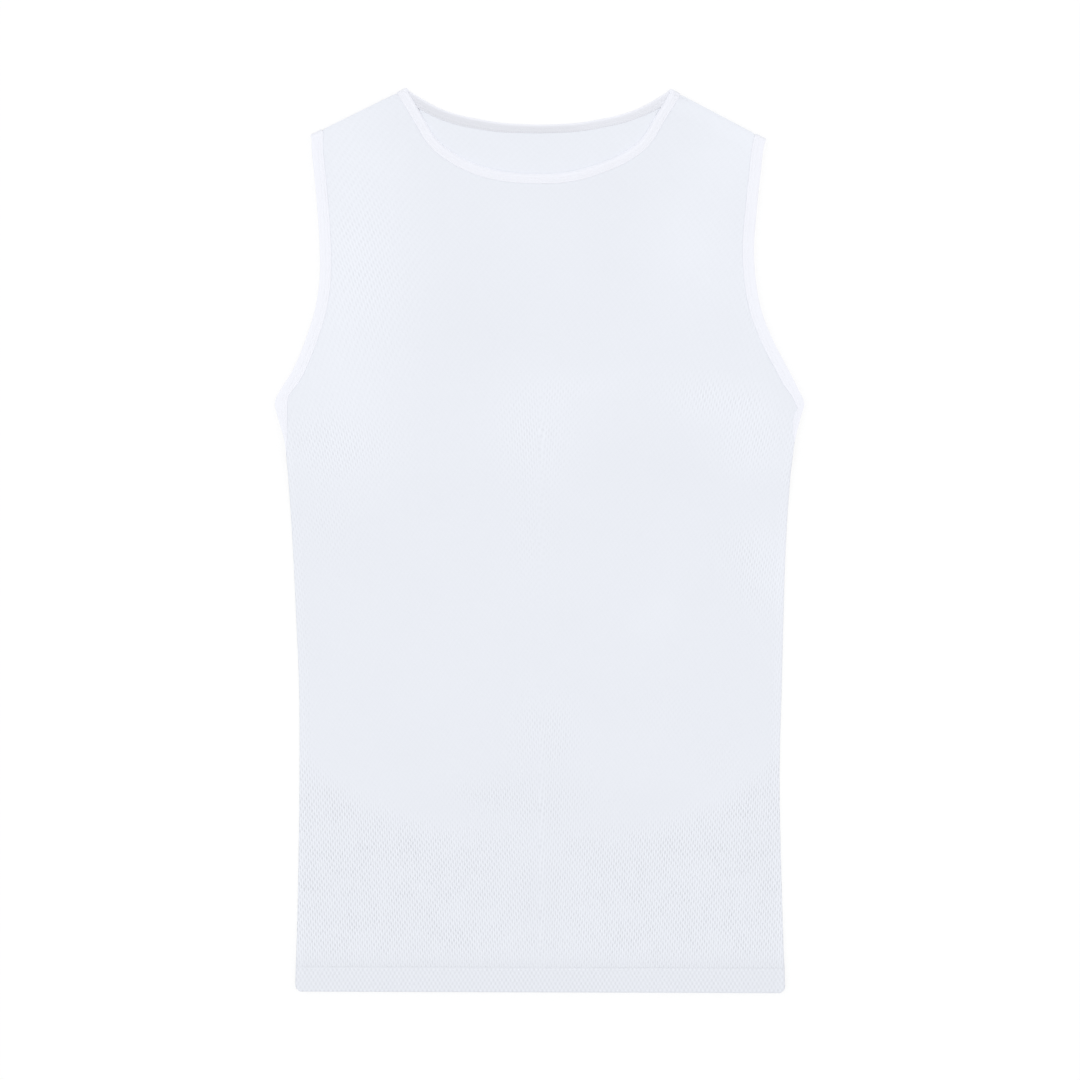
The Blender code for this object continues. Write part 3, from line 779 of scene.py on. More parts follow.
def shoulder_row(side, shares):
    """The axis of one shoulder fold, from the armhole's inset to the neck's."""
    shoulder = SHOULDERS[side]
    start = shoulder.tip + shoulder.along * EDGE_INSET
    end = shoulder.neck - shoulder.along * EDGE_INSET
    points = start + np.array(shares)[:, None] * (end - start)
    from_tip = (points - shoulder.tip) @ shoulder.along
    from_neck = (shoulder.neck - points) @ shoulder.along
    depth = shoulder_axis_depth(from_tip, from_neck)
    return points - shoulder.out * depth[:, None]


def shoulder_offsets():
    """Columns across a shoulder, closer where the bindings' mouths cross the fold."""
    plain = np.linspace(EDGE_COLUMNS[-1], NECK_END_COLUMNS[0], PLAIN_COLUMNS + 1)
    return np.concatenate([EDGE_COLUMNS, plain[1:], NECK_END_COLUMNS[1:]]) * MM


def panel_top(face):
    """The upper edge of a panel: left shoulder axis, neckline and right shoulder axis."""
    shares = shoulder_offsets() / SHOULDER_SPAN
    left = shoulder_row(LEFT, shares)
    right = shoulder_row(RIGHT, shares)
    neck = at_shares(NECK_EDGE[face], np.linspace(0.0, 1.0, NECK_COLUMNS + 1))
    neck = neck + beside(directions_along(neck), 1) * EDGE_INSET
    return np.vstack([left, neck[1:-1], right[::-1]])


def across_flanks(up):
    """Points from flank to flank at one distance above the hem's fold line."""
    ends = []
    for side in SIDES:
        flank = FLANK_EDGE[side][::-1]
        height = hem_line(side * half_width(FLANK[-1], side) * MM) + LAYER + up
        ends.append(np.interp(height, flank[:, 1], flank[:, 0]))
    offsets = shoulder_offsets()
    middle = np.linspace(ends[0] + offsets[-1], ends[1] - offsets[-1], NECK_COLUMNS + 1)[1:-1]
    xs = np.concatenate([ends[0] + offsets, middle, (ends[1] - offsets)[::-1]])
    rise = corner_rise(np.minimum(xs - ends[0], ends[1] - xs)) * (1.0 - up / HEM_ROWS[-1])
    return np.column_stack([xs, hem_line(xs) + LAYER + up + rise])


def fill_grid(bottom, top, left, right):
    """Rows of points between four edges, each row from left to right."""
    low, high = shares_of(bottom), shares_of(top)
    v = ((shares_of(left) + shares_of(right)) / 2)[:, None]
    u = (low + (high - low) * v)[..., None]
    v = v[..., None]
    ruled = bottom + (top - bottom) * v + left[:, None] + (right - left)[:, None] * u
    below = bottom[0] + (bottom[-1] - bottom[0]) * u
    above = top[0] + (top[-1] - top[0]) * u
    return ruled - (below + (above - below) * v)


def free_side(points):
    """1 where the panels' sides are free, 0 where the bindings' tails hold them."""
    return 1.0 - ease(points[:, 1], FREE_BELOW, HELD_ABOVE)


def quarter_round(distance, radius):
    """From 0 at an edge to 1 at a radius from it, upright at the edge."""
    t = np.clip(distance / radius, 0.0, 1.0)
    return np.sqrt(1.0 - (1.0 - t) ** 2)


def roll_to_seam(points, height, seam, face):
    """Near a free side the layer bends to the side seam, over the edge of its allowance."""
    distance = to_flank(points)
    roll = 1.0 - quarter_round(distance, SEAM_ROLL)
    rolled = height + (seam + face * SEAM_HALF - height) * roll
    if face == FRONT:
        step = SEAM_STEP * (1.0 - ease(distance, SEAM_STEP_FROM, SEAM_STEP_TO))
        rolled = rolled + step * (1.0 - roll)
    return height + (rolled - height) * free_side(points)


def hem_groove(points):
    """How deep the hem's needle line pulls the cloth in."""
    up = above_hem(points) + HEM_TURN_UP
    return HEM_GROOVE * np.exp(-((up - HEM_NEEDLE) / HEM_GROOVE_WIDTH) ** 2)


def row_of(places, heights, normal):
    """One row of a panel: places, heights and outward normals."""
    return places, heights, np.tile(normal, (len(places), 1))


def turned_up_rows(start, height, face):
    """The hem's inner layer from its raw edge down, and the fold up to the outer layer."""
    ends = start[[0, -1], 0] + np.array([1.0, -1.0]) * HEM_LAYER_INSET
    inside = np.column_stack([np.clip(start[:, 0], *ends), start[:, 1]])
    raw_edge = hem_line(start[:, 0]) + HEM_TURN_UP
    rows = []
    for up in TURNED_UP_SHARES:
        places = np.column_stack([inside[:, 0], start[:, 1] * (1 - up) + raw_edge * up])
        rows.append(row_of(places, height - face * LAYER, UP * -face))
    for angle in np.linspace(pi, 0.0, HEM_FOLD_STEPS + 1)[:-1]:
        normal = np.array([0.0, -sin(angle), cos(angle) * face])
        places = start + (inside - start) * angle / pi + normal[:2] * LAYER / 2
        rows.append(row_of(places, height - face * LAYER / 2 + normal[2] * LAYER / 2, normal))
    return rows


def panel_rows(face):
    """Every row of a panel, the hem's raw edge first, and how many of them are its outer layer."""
    left, right = panel_side(LEFT), panel_side(RIGHT)
    hem = [across_flanks(up) for up in HEM_ROWS]
    left[0], right[0] = hem[-1][0], hem[-1][-1]
    body = fill_grid(hem[-1], panel_top(face), left, right)
    grid = np.concatenate([hem[:-1], body])
    flat = grid.reshape(-1, 2)
    seam = (front_height(flat) + back_height(flat)) / 2
    heights = roll_to_seam(flat, HEIGHT[face](flat), seam, face)
    heights = (heights - face * hem_groove(flat)).reshape(grid.shape[:2])
    rows = turned_up_rows(grid[0], heights[0], face)
    rows += [row_of(places, height, UP * face) for places, height in zip(grid, heights)]
    return rows, len(grid)


def fold_over_shoulder(face, side, axis):
    """Rows that carry a panel a quarter turn round the shoulder fold to its seam."""
    out = np.append(SHOULDERS[side].out, 0.0)
    end = pi / 2 - SEAM_GAP / 2 / SHOULDER_RADIUS
    rows = []
    for angle in np.linspace(0.0, end, FOLD_STEPS // 2 + 1)[1:]:
        normal = out * sin(angle) + UP * face * cos(angle)
        heights = np.full(len(axis), SHOULDER_AXIS + normal[2] * SHOULDER_RADIUS)
        rows.append(row_of(axis + normal[:2] * SHOULDER_RADIUS, heights, normal))
    return rows


def half_thickness(points, is_outer):
    """The cloth thins to a rounded edge at the panel's free sides."""
    thin = FREE_EDGE_LEAST + (1.0 - FREE_EDGE_LEAST) * quarter_round(to_flank(points), FREE_EDGE)
    outer = 1.0 + (thin - 1.0) * free_side(points)
    return CLOTH / 2 * np.where(is_outer, outer, TURNED_UP_THICKNESS)


def surface_normals(middle, rows, columns, out):
    """Normals of the grid's middle surface, on the outward side."""
    lattice = middle.reshape(rows, columns, 3)
    normals = np.cross(np.gradient(lattice, axis=1), np.gradient(lattice, axis=0))
    normals = normals.reshape(-1, 3)
    lengths = np.linalg.norm(normals, axis=1)[:, None]
    normals = normals / np.maximum(lengths, 1e-12)
    return normals * np.sign(np.sum(normals * out, axis=1))[:, None]


def with_shoulder_folds(face, middle, normals, columns):
    """A panel's points, normals and faces, with a quarter turn over each shoulder added."""
    places, turns = [middle], [normals]
    faces = [grid_faces(len(middle) // columns, columns)]
    count = len(middle)
    last = np.arange(count - columns, count)
    width = len(shoulder_offsets())
    for side, picked in ((LEFT, slice(0, width)), (RIGHT, slice(-width, None))):
        below = last[picked]
        normals[below] = UP * face
        for flat, heights, turned in fold_over_shoulder(face, side, middle[below, :2]):
            added = np.arange(count, count + len(flat))
            faces.append(np.stack([below[:-1], below[1:], added[1:], added[:-1]], axis=1))
            places.append(np.column_stack([flat, heights]))
            turns.append(turned)
            count += len(flat)
            below = added
    return np.vstack(places), np.vstack(turns), np.vstack(faces)


def make_panel(face, name, material):
    """One panel: its sheet, the hem turned up inside it and its halves of the shoulder folds."""
    rows, outer_rows = panel_rows(face)
    columns = len(rows[0][0])
    places, heights, normals = (np.concatenate([row[k] for row in rows]) for k in range(3))
    middle = np.column_stack([places, heights])
    outer = slice((len(rows) - outer_rows) * columns, None)
    normals[outer] = surface_normals(middle, len(rows), columns, normals)[outer]
    middle, normals, faces = with_shoulder_folds(face, middle, normals, columns)
    if face == BACK:
        faces = faces[:, ::-1]
    half = half_thickness(middle[:, :2], np.arange(len(middle)) >= outer.start)[:, None]
    points, faces = thickened(middle, normals, half, faces)
    flat = np.tile(middle[:, :2], (2, 1))
    in_hem = 1.0 - ease(above_hem(flat) - HEM_CHANGE, -HEM_BLEND, HEM_BLEND)
    # The glow attribute carries the panel's painted light and shade
    tone = (glow(flat) if face == FRONT else BACK_PAINTED_LIGHT) + shoulder_lit(flat)
    return mesh_object(name, points, faces, material, [
        ("knit", np.column_stack([knit_place(flat), in_hem])),
        ("openness", openness(flat)),
        ("glow", tone)])


# ---------------------------------------------------------------- bindings


Strip = namedtuple("Strip", "edges reaches outs widths laid")


def turned_reaches(path, hand, band, turn, at_end):
    """From the fold to the mouth at each station, turned into the shoulder fold at one end."""
    travel = directions_along(path)
    square = beside(travel, hand)
    lengths = lengths_along(path)
    from_turn = lengths[-1] - lengths if at_end else lengths
    share = ease(from_turn, 0.0, TURN_BLEND)[:, None]
    across = turn + (square - turn) * share
    return across * (band / np.abs(np.sum(across * square, axis=1)))[:, None]


def neck_reaches(path):
    half = len(path) // 2
    start = turned_reaches(path, 1, NECK_BAND, -SHOULDERS[LEFT].along, False)
    end = turned_reaches(path, 1, NECK_BAND, -SHOULDERS[RIGHT].along, True)
    return np.vstack([start[:half], end[half:]])


def armhole_reaches(path, side):
    """As the armhole runs, and below it from the outline to the tail's own inner edge."""
    reaches = turned_reaches(path, -side, ARMHOLE_BAND, SHOULDERS[side].along, True)
    end, corner = path[0, 1], int(np.argmax(path[:, 1] > CORNER_TOP))
    top = path[corner] + reaches[corner]
    rows = [row for row in TAIL_MOUTH if row.height * MM < top[1]][::-1]
    heights = [row.height * MM for row in rows] + [top[1]]
    widths = [side * half_width(row, side) * MM for row in rows] + [top[0]]
    share = (path[:corner, 1] - end) / (path[corner, 1] - end)
    mouth_heights = end + share * (top[1] - end)
    mouth = np.column_stack([np.interp(mouth_heights, heights, widths), mouth_heights])
    taper = TAIL_TIP + (1.0 - TAIL_TIP) * ease(path[:corner, 1], end, end + TAIL_TAPER)
    reaches[:corner] = (mouth - path[:corner]) * taper[:, None]
    return reaches


def in_space(flat, height):
    return np.column_stack([flat, np.broadcast_to(height, len(flat))])


def fold_stations(shoulder, starts, reaches):
    """Stations over the shoulder, from the front run's start to the back run's start."""
    edges, turned, outs = [], [], []
    for angle in np.linspace(0.0, pi, FOLD_STEPS + 1)[1:-1]:
        out = np.append(shoulder.out, 0.0) * sin(angle) + UP * cos(angle)
        share = angle / pi
        axis = np.append(starts[0] + (starts[1] - starts[0]) * share, SHOULDER_AXIS)
        edges.append(axis + out * SHOULDER_RADIUS)
        turned.append(np.append(reaches[0] + (reaches[1] - reaches[0]) * share, 0.0))
        outs.append(out)
    return np.array(edges), np.array(turned), np.array(outs)


def joined_strip(parts, front_rests=False):
    """One strip of its parts; laid is 1 where its front run rests on the back panel."""
    edges, reaches, outs = (np.vstack([part[k] for part in parts]) for k in range(3))
    laid = np.clip(outs[:, 2], 0.0, 1.0) * front_rests
    return Strip(edges, reaches, outs, np.linalg.norm(reaches, axis=1), laid)


def run(path, reaches, height, face):
    return in_space(path, height), in_space(reaches, 0.0), np.tile(UP * face, (len(path), 1))


def reversed_part(part):
    return tuple(values[::-1] for values in part)


def neck_strip():
    """One closed ring: front run, right shoulder, back run, left shoulder."""
    front, back = (evenly(NECK_EDGE[face], STATION) for face in (FRONT, BACK))
    x = back[:, :1]
    middle = ease(x, *NARROWS) * (1.0 - ease(x, *WIDENS))
    front_reach = neck_reaches(front)
    back_reach = neck_reaches(back) * (1.0 - BACK_NARROWED * middle)
    over_right = fold_stations(SHOULDERS[RIGHT], (front[-1], back[-1]),
                               (front_reach[-1], back_reach[-1]))
    over_left = fold_stations(SHOULDERS[LEFT], (front[0], back[0]),
                              (front_reach[0], back_reach[0]))
    return joined_strip([run(front, front_reach, front_neck_height(front), FRONT), over_right,
                         reversed_part(run(back, back_reach, BACK_BOUND, BACK)),
                         reversed_part(over_left)], True)


def armhole_strip(side):
    """One strip: front tail and front run, over the shoulder, back run and back tail."""
    edge = np.vstack([TAIL_EDGE[side][::-1], ARMHOLE_EDGE[side][::-1][1:]])
    path = evenly(edge, STATION)
    reaches = armhole_reaches(path, side)
    over = fold_stations(SHOULDERS[side], (path[-1], path[-1]), (reaches[-1], reaches[-1]))
    return joined_strip([run(path, reaches, FRONT_BOUND, FRONT), over,
                         reversed_part(run(path, reaches, BACK_BOUND, BACK))])


def rounded(distance, climb, laid):
    """A quarter round from 0 at the fold to 1, and a flatter slope where the fold is laid."""
    share = ROUND_SHARE + (LAID_ROUND_SHARE - ROUND_SHARE) * laid
    t = min(1.0, distance / (LEAST_ROUND + share * abs(climb)))
    return (1.0 - (1.0 - t) ** 2) ** (0.5 + 0.5 * laid)


def skin_height(share, width, out, face, laid=0.0):
    """Height of one skin of the binding from its middle, at a share of its width."""
    turned = np.linalg.norm(out[:2])
    full = fullness(width)
    crown = CROWN + (TURNED_CROWN - CROWN) * turned
    mouth_crown = MOUTH_CROWN + (crown - MOUTH_CROWN) * turned
    height = thinned(crown, mouth_crown, share) * full
    for line in NEEDLE_LINES:
        height = height - GROOVE * full * np.exp(-((share - line) / GROOVE_WIDTH) ** 2)
    sink = FREE_SINK + (LAID_SINK - FREE_SINK) * laid
    fold = -sink * full * out[2] * face
    height = fold + (height - fold) * rounded(share * width, height - fold, laid)
    if share > 1.0 - LIP_SHARE:
        lip = LIP + (TURNED_LIP - LIP) * turned
        inwards = (share - 1.0 + LIP_SHARE) / LIP_SHARE
        height = lip + (height - lip) * sqrt(1.0 - inwards**2)
    return face * height


def section(width, out, laid):
    """Closed loop round the folded strip: shares of the width and heights from its middle."""
    skins = [(share, skin_height(share, width, out, face, laid))
             for face, shares in ((FRONT, SECTION_SHARES[::-1]), (BACK, SECTION_SHARES[1:]))
             for share in shares]
    depth = min(HOLLOW_DEPTH / width, 0.5)
    hollow = [(1.0, -HOLLOW), (depth * HOLLOW_ROUND, -HOLLOW), (depth, -HOLLOW / 2)]
    return skins + hollow + [(share, -height) for share, height in hollow[::-1]]


def inner_shade(x):
    """Painted shade of a binding's inner skin."""
    return INNER_SHADE[LEFT] + (INNER_SHADE[RIGHT] - INNER_SHADE[LEFT]) * ease(x, *INNER_CHANGE)


def binding_tones(distances, inside, x, laid):
    """Brightness round one section: painted shade on the inner skin and a painted highlight on the
    fold.
    """
    inner = 1.0 - (1.0 - inner_shade(x)) * ease(distances, INNER_FROM, INNER_TO)
    rim = RIM_LIT * (1.0 - ease(distances, RIM_FROM, RIM_TO))
    slope = LAID_LIT * laid * (1.0 - ease(distances, LAID_LIT_FROM, LAID_LIT_TO))
    return np.where(inside, inner, 1.0) * (1.0 + rim + slope)


def make_binding(name, strip, closed, tone, material):
    """Sweep the folded section along a strip's stations.

    A ring's knit runs both ways from its middle, so that it meets itself without a jump.
    """
    points, knit, tones = [], [], []
    travelled = lengths_along(strip.edges)
    if closed:
        round_length = travelled[-1] + np.linalg.norm(strip.edges[0] - strip.edges[-1])
        travelled = np.abs(travelled - round_length / 2)
    for edge, reach, out, width, laid, far in zip(*strip, travelled):
        loop = np.array(section(width, out, laid))
        points.append(edge + loop[:, :1] * reach + loop[:, 1:] * out)
        inside = np.arange(len(loop)) >= len(SECTION_SHARES)
        distances = loop[:, 0] * width
        knit.append(np.column_stack([distances, np.full(len(loop), far), inside]))
        tones.append(tone * binding_tones(distances, inside, edge[0], laid))
    count, around = len(points), len(points[0])
    number = np.arange(count * around).reshape(count, around)
    here, following = (number, np.roll(number, -1, axis=0)) if closed else (number[:-1], number[1:])
    faces = np.stack([here, np.roll(here, -1, axis=1), np.roll(following, -1, axis=1), following],
                     axis=-1).reshape(-1, 4).tolist()
    if not closed:
        faces += [number[0][::-1].tolist(), number[-1].tolist()]
    return mesh_object(name, np.vstack(points), faces, material,
                       [("knit", np.vstack(knit)), ("glow", np.concatenate(tones))])


# ---------------------------------------------------------------- stitching


def stitch_points(start, end, out):
    """One stitch: a rounded length of thread, pulled in at both ends."""
    along = end - start
    across = np.cross(along, out)
    across = across / np.linalg.norm(across)
    angles = np.arange(STITCH_SIDES) * 2 * pi / STITCH_SIDES
    circle = np.cos(angles)[:, None] * across + np.sin(angles)[:, None] * out
    return np.vstack([start + along * ring.share - out * STITCH_RADIUS * ring.drop
                      + STITCH_RADIUS * ring.size * circle for ring in STITCH_RINGS])


def stitch_faces(first):
    """Quads between the rings of one stitch, and its two ends."""
    faces = []
    for ring in range(first, first + STITCH_POINTS - STITCH_SIDES, STITCH_SIDES):
        for k in range(STITCH_SIDES):
            a, b = ring + k, ring + (k + 1) % STITCH_SIDES
            faces.append((a, a + STITCH_SIDES, b + STITCH_SIDES, b))
    last = first + STITCH_POINTS
    return faces + [tuple(range(first, first + STITCH_SIDES)),
                    tuple(range(last - 1, last - 1 - STITCH_SIDES, -1))]


def make_stitching(name, lines, material):
    """Rows of stitches along lines of (path, outward directions, face), in one mesh.

    The thread on the inner face carries the same painted shade as the inner skin of a binding.
    """
    points, faces, tones = [], [], []
    for path, outs, face in lines:
        lengths = lengths_along(path)
        for begin in np.arange(STITCH_STEP / 2, lengths[-1] - STITCH_LENGTH, STITCH_STEP):
            start, end = at_lengths(path, [begin, begin + STITCH_LENGTH])
            out = at_outs(outs, lengths, begin + STITCH_LENGTH / 2)
            faces += stitch_faces(len(points) * STITCH_POINTS)
            points.append(stitch_points(start, end, out))
            tones += [inner_shade(start[0]) if face == BACK else 1.0] * STITCH_POINTS
    return mesh_object(name, np.vstack(points), faces, material, [("glow", np.array(tones))])


def at_outs(outs, lengths, place):
    """The outward direction at one length along a line."""
    out = np.array([np.interp(place, lengths, outs[:, k]) for k in range(3)])
    return out / np.linalg.norm(out)


def needle_lines(strip, closed, face=FRONT):
    """The twin needle lines on the outside (FRONT) or the inside (BACK) of a binding."""
    lines = []
    keep = strip.widths > SEWN_WIDTH
    for share in NEEDLE_LINES:
        heights = [skin_height(share, width, out, face)
                   for width, out in zip(strip.widths, strip.outs)]
        lift = np.array(heights) + face * STITCH_LIFT
        path = strip.edges + strip.reaches * share + strip.outs * lift[:, None]
        outs = strip.outs * face
        if closed:
            lines.append((np.vstack([path, path[:1]]), np.vstack([outs, outs[:1]]), face))
        else:
            lines.append((path[keep], outs[keep], face))
    return lines


def hem_lines(face):
    """The needle line across one panel's hem."""
    x = np.arange(-HEM_NEEDLE_ENDS_MM, HEM_NEEDLE_ENDS_MM, HEM_NEEDLE_STEP_MM) * MM
    flat = np.column_stack([x, hem_line(x) + HEM_NEEDLE])
    height = HEIGHT[face](flat) + face * (CLOTH / 2 + HEM_STITCH_LIFT - hem_groove(flat))
    return [(in_space(flat, height), np.tile(UP * face, (len(x), 1)), FRONT)]


# ---------------------------------------------------------------- shader building


VECTOR = "NodeSocketVector"
NUMBER = "NodeSocketFloat"


class Graph:
    """Adds nodes to one shader tree and links them as they are made."""

    def __init__(self, tree):
        self.tree = tree

    def node(self, kind, inputs=(), **settings):
        made = self.tree.nodes.new(kind)
        for key, value in settings.items():
            setattr(made, key, value)
        for key, value in dict(inputs).items():
            self.feed(made.inputs[key], value)
        return made

    def feed(self, socket, value):
        if isinstance(value, bpy.types.NodeSocket):
            self.tree.links.new(value, socket)
        else:
            socket.default_value = value

    def math(self, operation, a, b=0.0):
        made = self.node("ShaderNodeMath", operation=operation)
        self.feed(made.inputs[0], a)
        self.feed(made.inputs[1], b)
        return made.outputs[0]

    def times(self, a, b):
        return self.math("MULTIPLY", a, b)

    def plus(self, a, b):
        return self.math("ADD", a, b)

    def minus(self, a, b):
        return self.math("SUBTRACT", a, b)

    def vector(self, operation, a, b):
        made = self.node("ShaderNodeVectorMath", operation=operation)
        self.feed(made.inputs[0], a)
        self.feed(made.inputs[1], b)
        return made.outputs[0]

    def wave(self, value, period):
        """Cosine of a length, once round in a period."""
        return self.math("COSINE", self.times(value, 2 * pi / period))

    def step(self, value, low, high):
        made = self.node("ShaderNodeMapRange", interpolation_type="SMOOTHSTEP")
        self.feed(made.inputs["Value"], value)
        made.inputs["From Min"].default_value = low
        made.inputs["From Max"].default_value = high
        return made.outputs["Result"]

    def noise(self, vector, scale, detail, output="Fac"):
        made = self.node("ShaderNodeTexNoise", {"Vector": vector, "Scale": scale,
                                                "Detail": detail})
        return made.outputs[output]

    def attribute(self, name, output):
        return self.node("ShaderNodeAttribute", attribute_name=name).outputs[output]


def new_group(name, inputs, outputs):
    """A shader node group: inputs by name and socket kind, and the names of its numbers out."""
    tree = bpy.data.node_groups.new(name, "ShaderNodeTree")
    for label, kind in inputs.items():
        tree.interface.new_socket(name=label, in_out="INPUT", socket_type=kind)
    for label in outputs:
        tree.interface.new_socket(name=label, in_out="OUTPUT", socket_type=NUMBER)
    graph = Graph(tree)
    return graph, graph.node("NodeGroupInput"), graph.node("NodeGroupOutput")


def dimpled_knit_group():
    """Staggered columns of upright dimples between raised zigzag ribs, as one signed relief; the
    material turns it into painted shade in the dimples and painted light on the ribs.

    The place's third number is 1 in the hem and 0 above it; the relief fades in between.
    """
    graph, given, made = new_group("dimpled_knit", {"Place": VECTOR, "Openness": NUMBER},
                                   ["Dimple", "Steady"])
    place = given.outputs["Place"]
    wander = graph.vector("SUBTRACT", graph.noise(place, WANDER_SCALE, 2.0, "Color"),
                          (0.5, 0.5, 0.5))
    moved = graph.vector("ADD", place, graph.vector("MULTIPLY", wander, WANDER))
    parts = graph.node("ShaderNodeSeparateXYZ", {"Vector": moved})
    column = graph.wave(parts.outputs["X"], DIMPLE_PITCH)
    narrow = graph.wave(parts.outputs["X"], DIMPLE_PITCH / 2)
    row = graph.wave(parts.outputs["Y"], 2 * DIMPLE_ROW)
    opened = graph.step(given.outputs["Openness"], 0.0, RIB_OPENING)
    hemmed = graph.minus(1.0, graph.times(parts.outputs["Z"], HEM_RIB_LOSS))
    ribbed = graph.times(graph.times(opened, hemmed), RIB_WEIGHT)
    lattice = graph.plus(graph.times(graph.times(column, row), 2.0), graph.times(narrow, ribbed))
    uneven = graph.noise(place, UNEVEN_SCALE, 1.0)
    patchy = graph.noise(place, PATCHY_SCALE, 1.0)
    depth = graph.times(graph.plus(UNEVEN_LEAST, graph.times(uneven, UNEVEN_SWING)),
                        graph.plus(PATCHY_LEAST, patchy))
    dimple = graph.times(graph.times(lattice, depth), given.outputs["Openness"])
    change = graph.times(parts.outputs["Z"], graph.minus(1.0, parts.outputs["Z"]))
    steady = graph.minus(1.0, graph.times(change, 4.0))
    graph.feed(made.inputs["Dimple"], graph.times(dimple, steady))
    graph.feed(made.inputs["Steady"], steady)
    return graph.tree


def yarn_loops_group():
    """Fine interlocked loops of the yarn, as a height."""
    graph, given, made = new_group("yarn_loops", {"Place": VECTOR, "Width": NUMBER}, ["Height"])
    width = given.outputs["Width"]
    scale = graph.node("ShaderNodeCombineXYZ", {"X": width, "Y": width, "Z": 1.0}).outputs[0]
    place = graph.vector("DIVIDE", given.outputs["Place"], scale)
    parts = graph.node("ShaderNodeSeparateXYZ", {"Vector": place})
    column = graph.wave(parts.outputs["X"], 1.0)
    slanted = graph.plus(graph.times(parts.outputs["Y"], LOOP_RATE),
                         graph.times(column, LOOP_SLANT))
    loops = graph.plus(graph.wave(slanted, 1.0), graph.times(column, LOOP_COLUMN))
    graph.feed(made.inputs["Height"], graph.times(loops, 0.5))
    return graph.tree


def cloth_tone_group():
    """Slow unevenness of the knit's brightness and a faint lint, as a factor near 1."""
    graph, given, made = new_group("cloth_tone", {"Position": VECTOR, "Amount": NUMBER},
                                   ["Factor"])
    slow = graph.noise(given.outputs["Position"], SLOW_SCALE, 3.0)
    lint = graph.noise(given.outputs["Position"], LINT_SCALE, 2.0)
    both = graph.plus(graph.times(slow, 1.0 - LINT_SHARE), graph.times(lint, LINT_SHARE))
    swing = graph.times(graph.minus(both, 0.5), given.outputs["Amount"])
    graph.feed(made.inputs["Factor"], graph.plus(swing, 1.0))
    return graph.tree


DIMPLED_KNIT = dimpled_knit_group()
YARN_LOOPS = yarn_loops_group()
CLOTH_TONE = cloth_tone_group()


# ---------------------------------------------------------------- materials


def new_material(name, finish):
    material = bpy.data.materials.new(name)
    material.use_nodes = True
    shader = material.node_tree.nodes["Principled BSDF"]
    shader.inputs["Roughness"].default_value = finish.roughness
    shader.inputs["Sheen Weight"].default_value = finish.sheen
    shader.inputs["Sheen Roughness"].default_value = SHEEN_ROUGHNESS
    shader.inputs["Specular IOR Level"].default_value = SPECULAR_LEVEL
    return material, Graph(material.node_tree), shader


def use_group(graph, group, place, **numbers):
    """One of the shared groups, fed with a place and with its own values."""
    used = graph.node("ShaderNodeGroup", node_tree=group)
    graph.feed(used.inputs[0], place)
    for label, value in numbers.items():
        graph.feed(used.inputs[label], value)
    return used.outputs


def colour_and_bump(graph, shader, colour, factor, height, distance):
    """A plain colour scaled by a factor over the surface, and a relief of a given depth."""
    scaled = graph.node("ShaderNodeVectorMath", {0: colour, "Scale": factor}, operation="SCALE")
    graph.feed(shader.inputs["Base Color"], scaled.outputs[0])
    bump = graph.node("ShaderNodeBump", {"Height": height, "Distance": distance})
    graph.feed(shader.inputs["Normal"], bump.outputs["Normal"])


def toned(graph, shade, unevenness):
    """A shade with the piece's glow (its tone, with painted light and shade) and the slow
    unevenness of cloth on it.
    """
    factor = graph.times(shade, graph.attribute("glow", "Fac"))
    place = graph.node("ShaderNodeTexCoord").outputs["Object"]
    tone = use_group(graph, CLOTH_TONE, place, Amount=unevenness)
    return graph.times(factor, tone["Factor"])


def mesh_cloth():
    """White dimpled knit: a dimple is lower and painted darker, a rib painted brighter, and its
    yarn shows fine loops.
    """
    material, graph, shader = new_material("white_dimpled_knit", MESH_FINISH)
    place = graph.attribute("knit", "Vector")
    knit = use_group(graph, DIMPLED_KNIT, place, Openness=graph.attribute("openness", "Fac"))
    loops = use_group(graph, YARN_LOOPS, place, Width=MESH_LOOP)
    open_shade = graph.times(graph.attribute("openness", "Fac"), OPEN_SHADE)
    dimple_shade = graph.times(knit["Dimple"], DIMPLE_SHADE)
    shade = graph.minus(graph.minus(1.0, open_shade), dimple_shade)
    factor = toned(graph, shade, MESH_UNEVENNESS)
    yarn = graph.times(graph.times(loops["Height"], MESH_LOOP_HEIGHT), knit["Steady"])
    height = graph.minus(yarn, graph.times(knit["Dimple"], DIMPLE_HEIGHT))
    colour_and_bump(graph, shader, YARN, factor, height, MESH_FINISH.bump)
    return material


def binding_cloth():
    """White plain knit of the bindings, closer than the panels, with needle marks inside."""
    material, graph, shader = new_material("white_plain_knit", BAND_FINISH)
    place = graph.attribute("knit", "Vector")
    loops = use_group(graph, YARN_LOOPS, place, Width=BAND_LOOP)
    parts = graph.node("ShaderNodeSeparateXYZ", {"Vector": place})
    row = graph.times(graph.step(parts.outputs["X"], *MARKS_START),
                      graph.minus(1.0, graph.step(parts.outputs["X"], *MARKS_END)))
    marks = graph.times(graph.step(graph.wave(parts.outputs["Y"], MARKS_PITCH), 0.0, 0.9),
                        graph.times(row, parts.outputs["Z"]))
    shade = graph.minus(BAND_SHADE, graph.times(marks, MARKS_SHADE))
    factor = toned(graph, shade, BAND_UNEVENNESS)
    height = graph.minus(graph.times(loops["Height"], BAND_LOOP_HEIGHT), marks)
    colour_and_bump(graph, shader, BAND_YARN, factor, height, BAND_FINISH.bump)
    return material


def sewing_thread():
    """White twisted thread."""
    material, graph, shader = new_material("white_sewing_thread", THREAD_FINISH)
    place = graph.node("ShaderNodeTexCoord").outputs["Object"]
    twist = graph.noise(place, TWIST_SCALE, 1.0)
    lit = graph.plus(TWIST_SHADE, graph.times(twist, TWIST_LIT))
    factor = graph.times(lit, graph.attribute("glow", "Fac"))
    colour_and_bump(graph, shader, THREAD, factor, twist, THREAD_FINISH.bump)
    return material


# ---------------------------------------------------------------- stage, lamps and camera


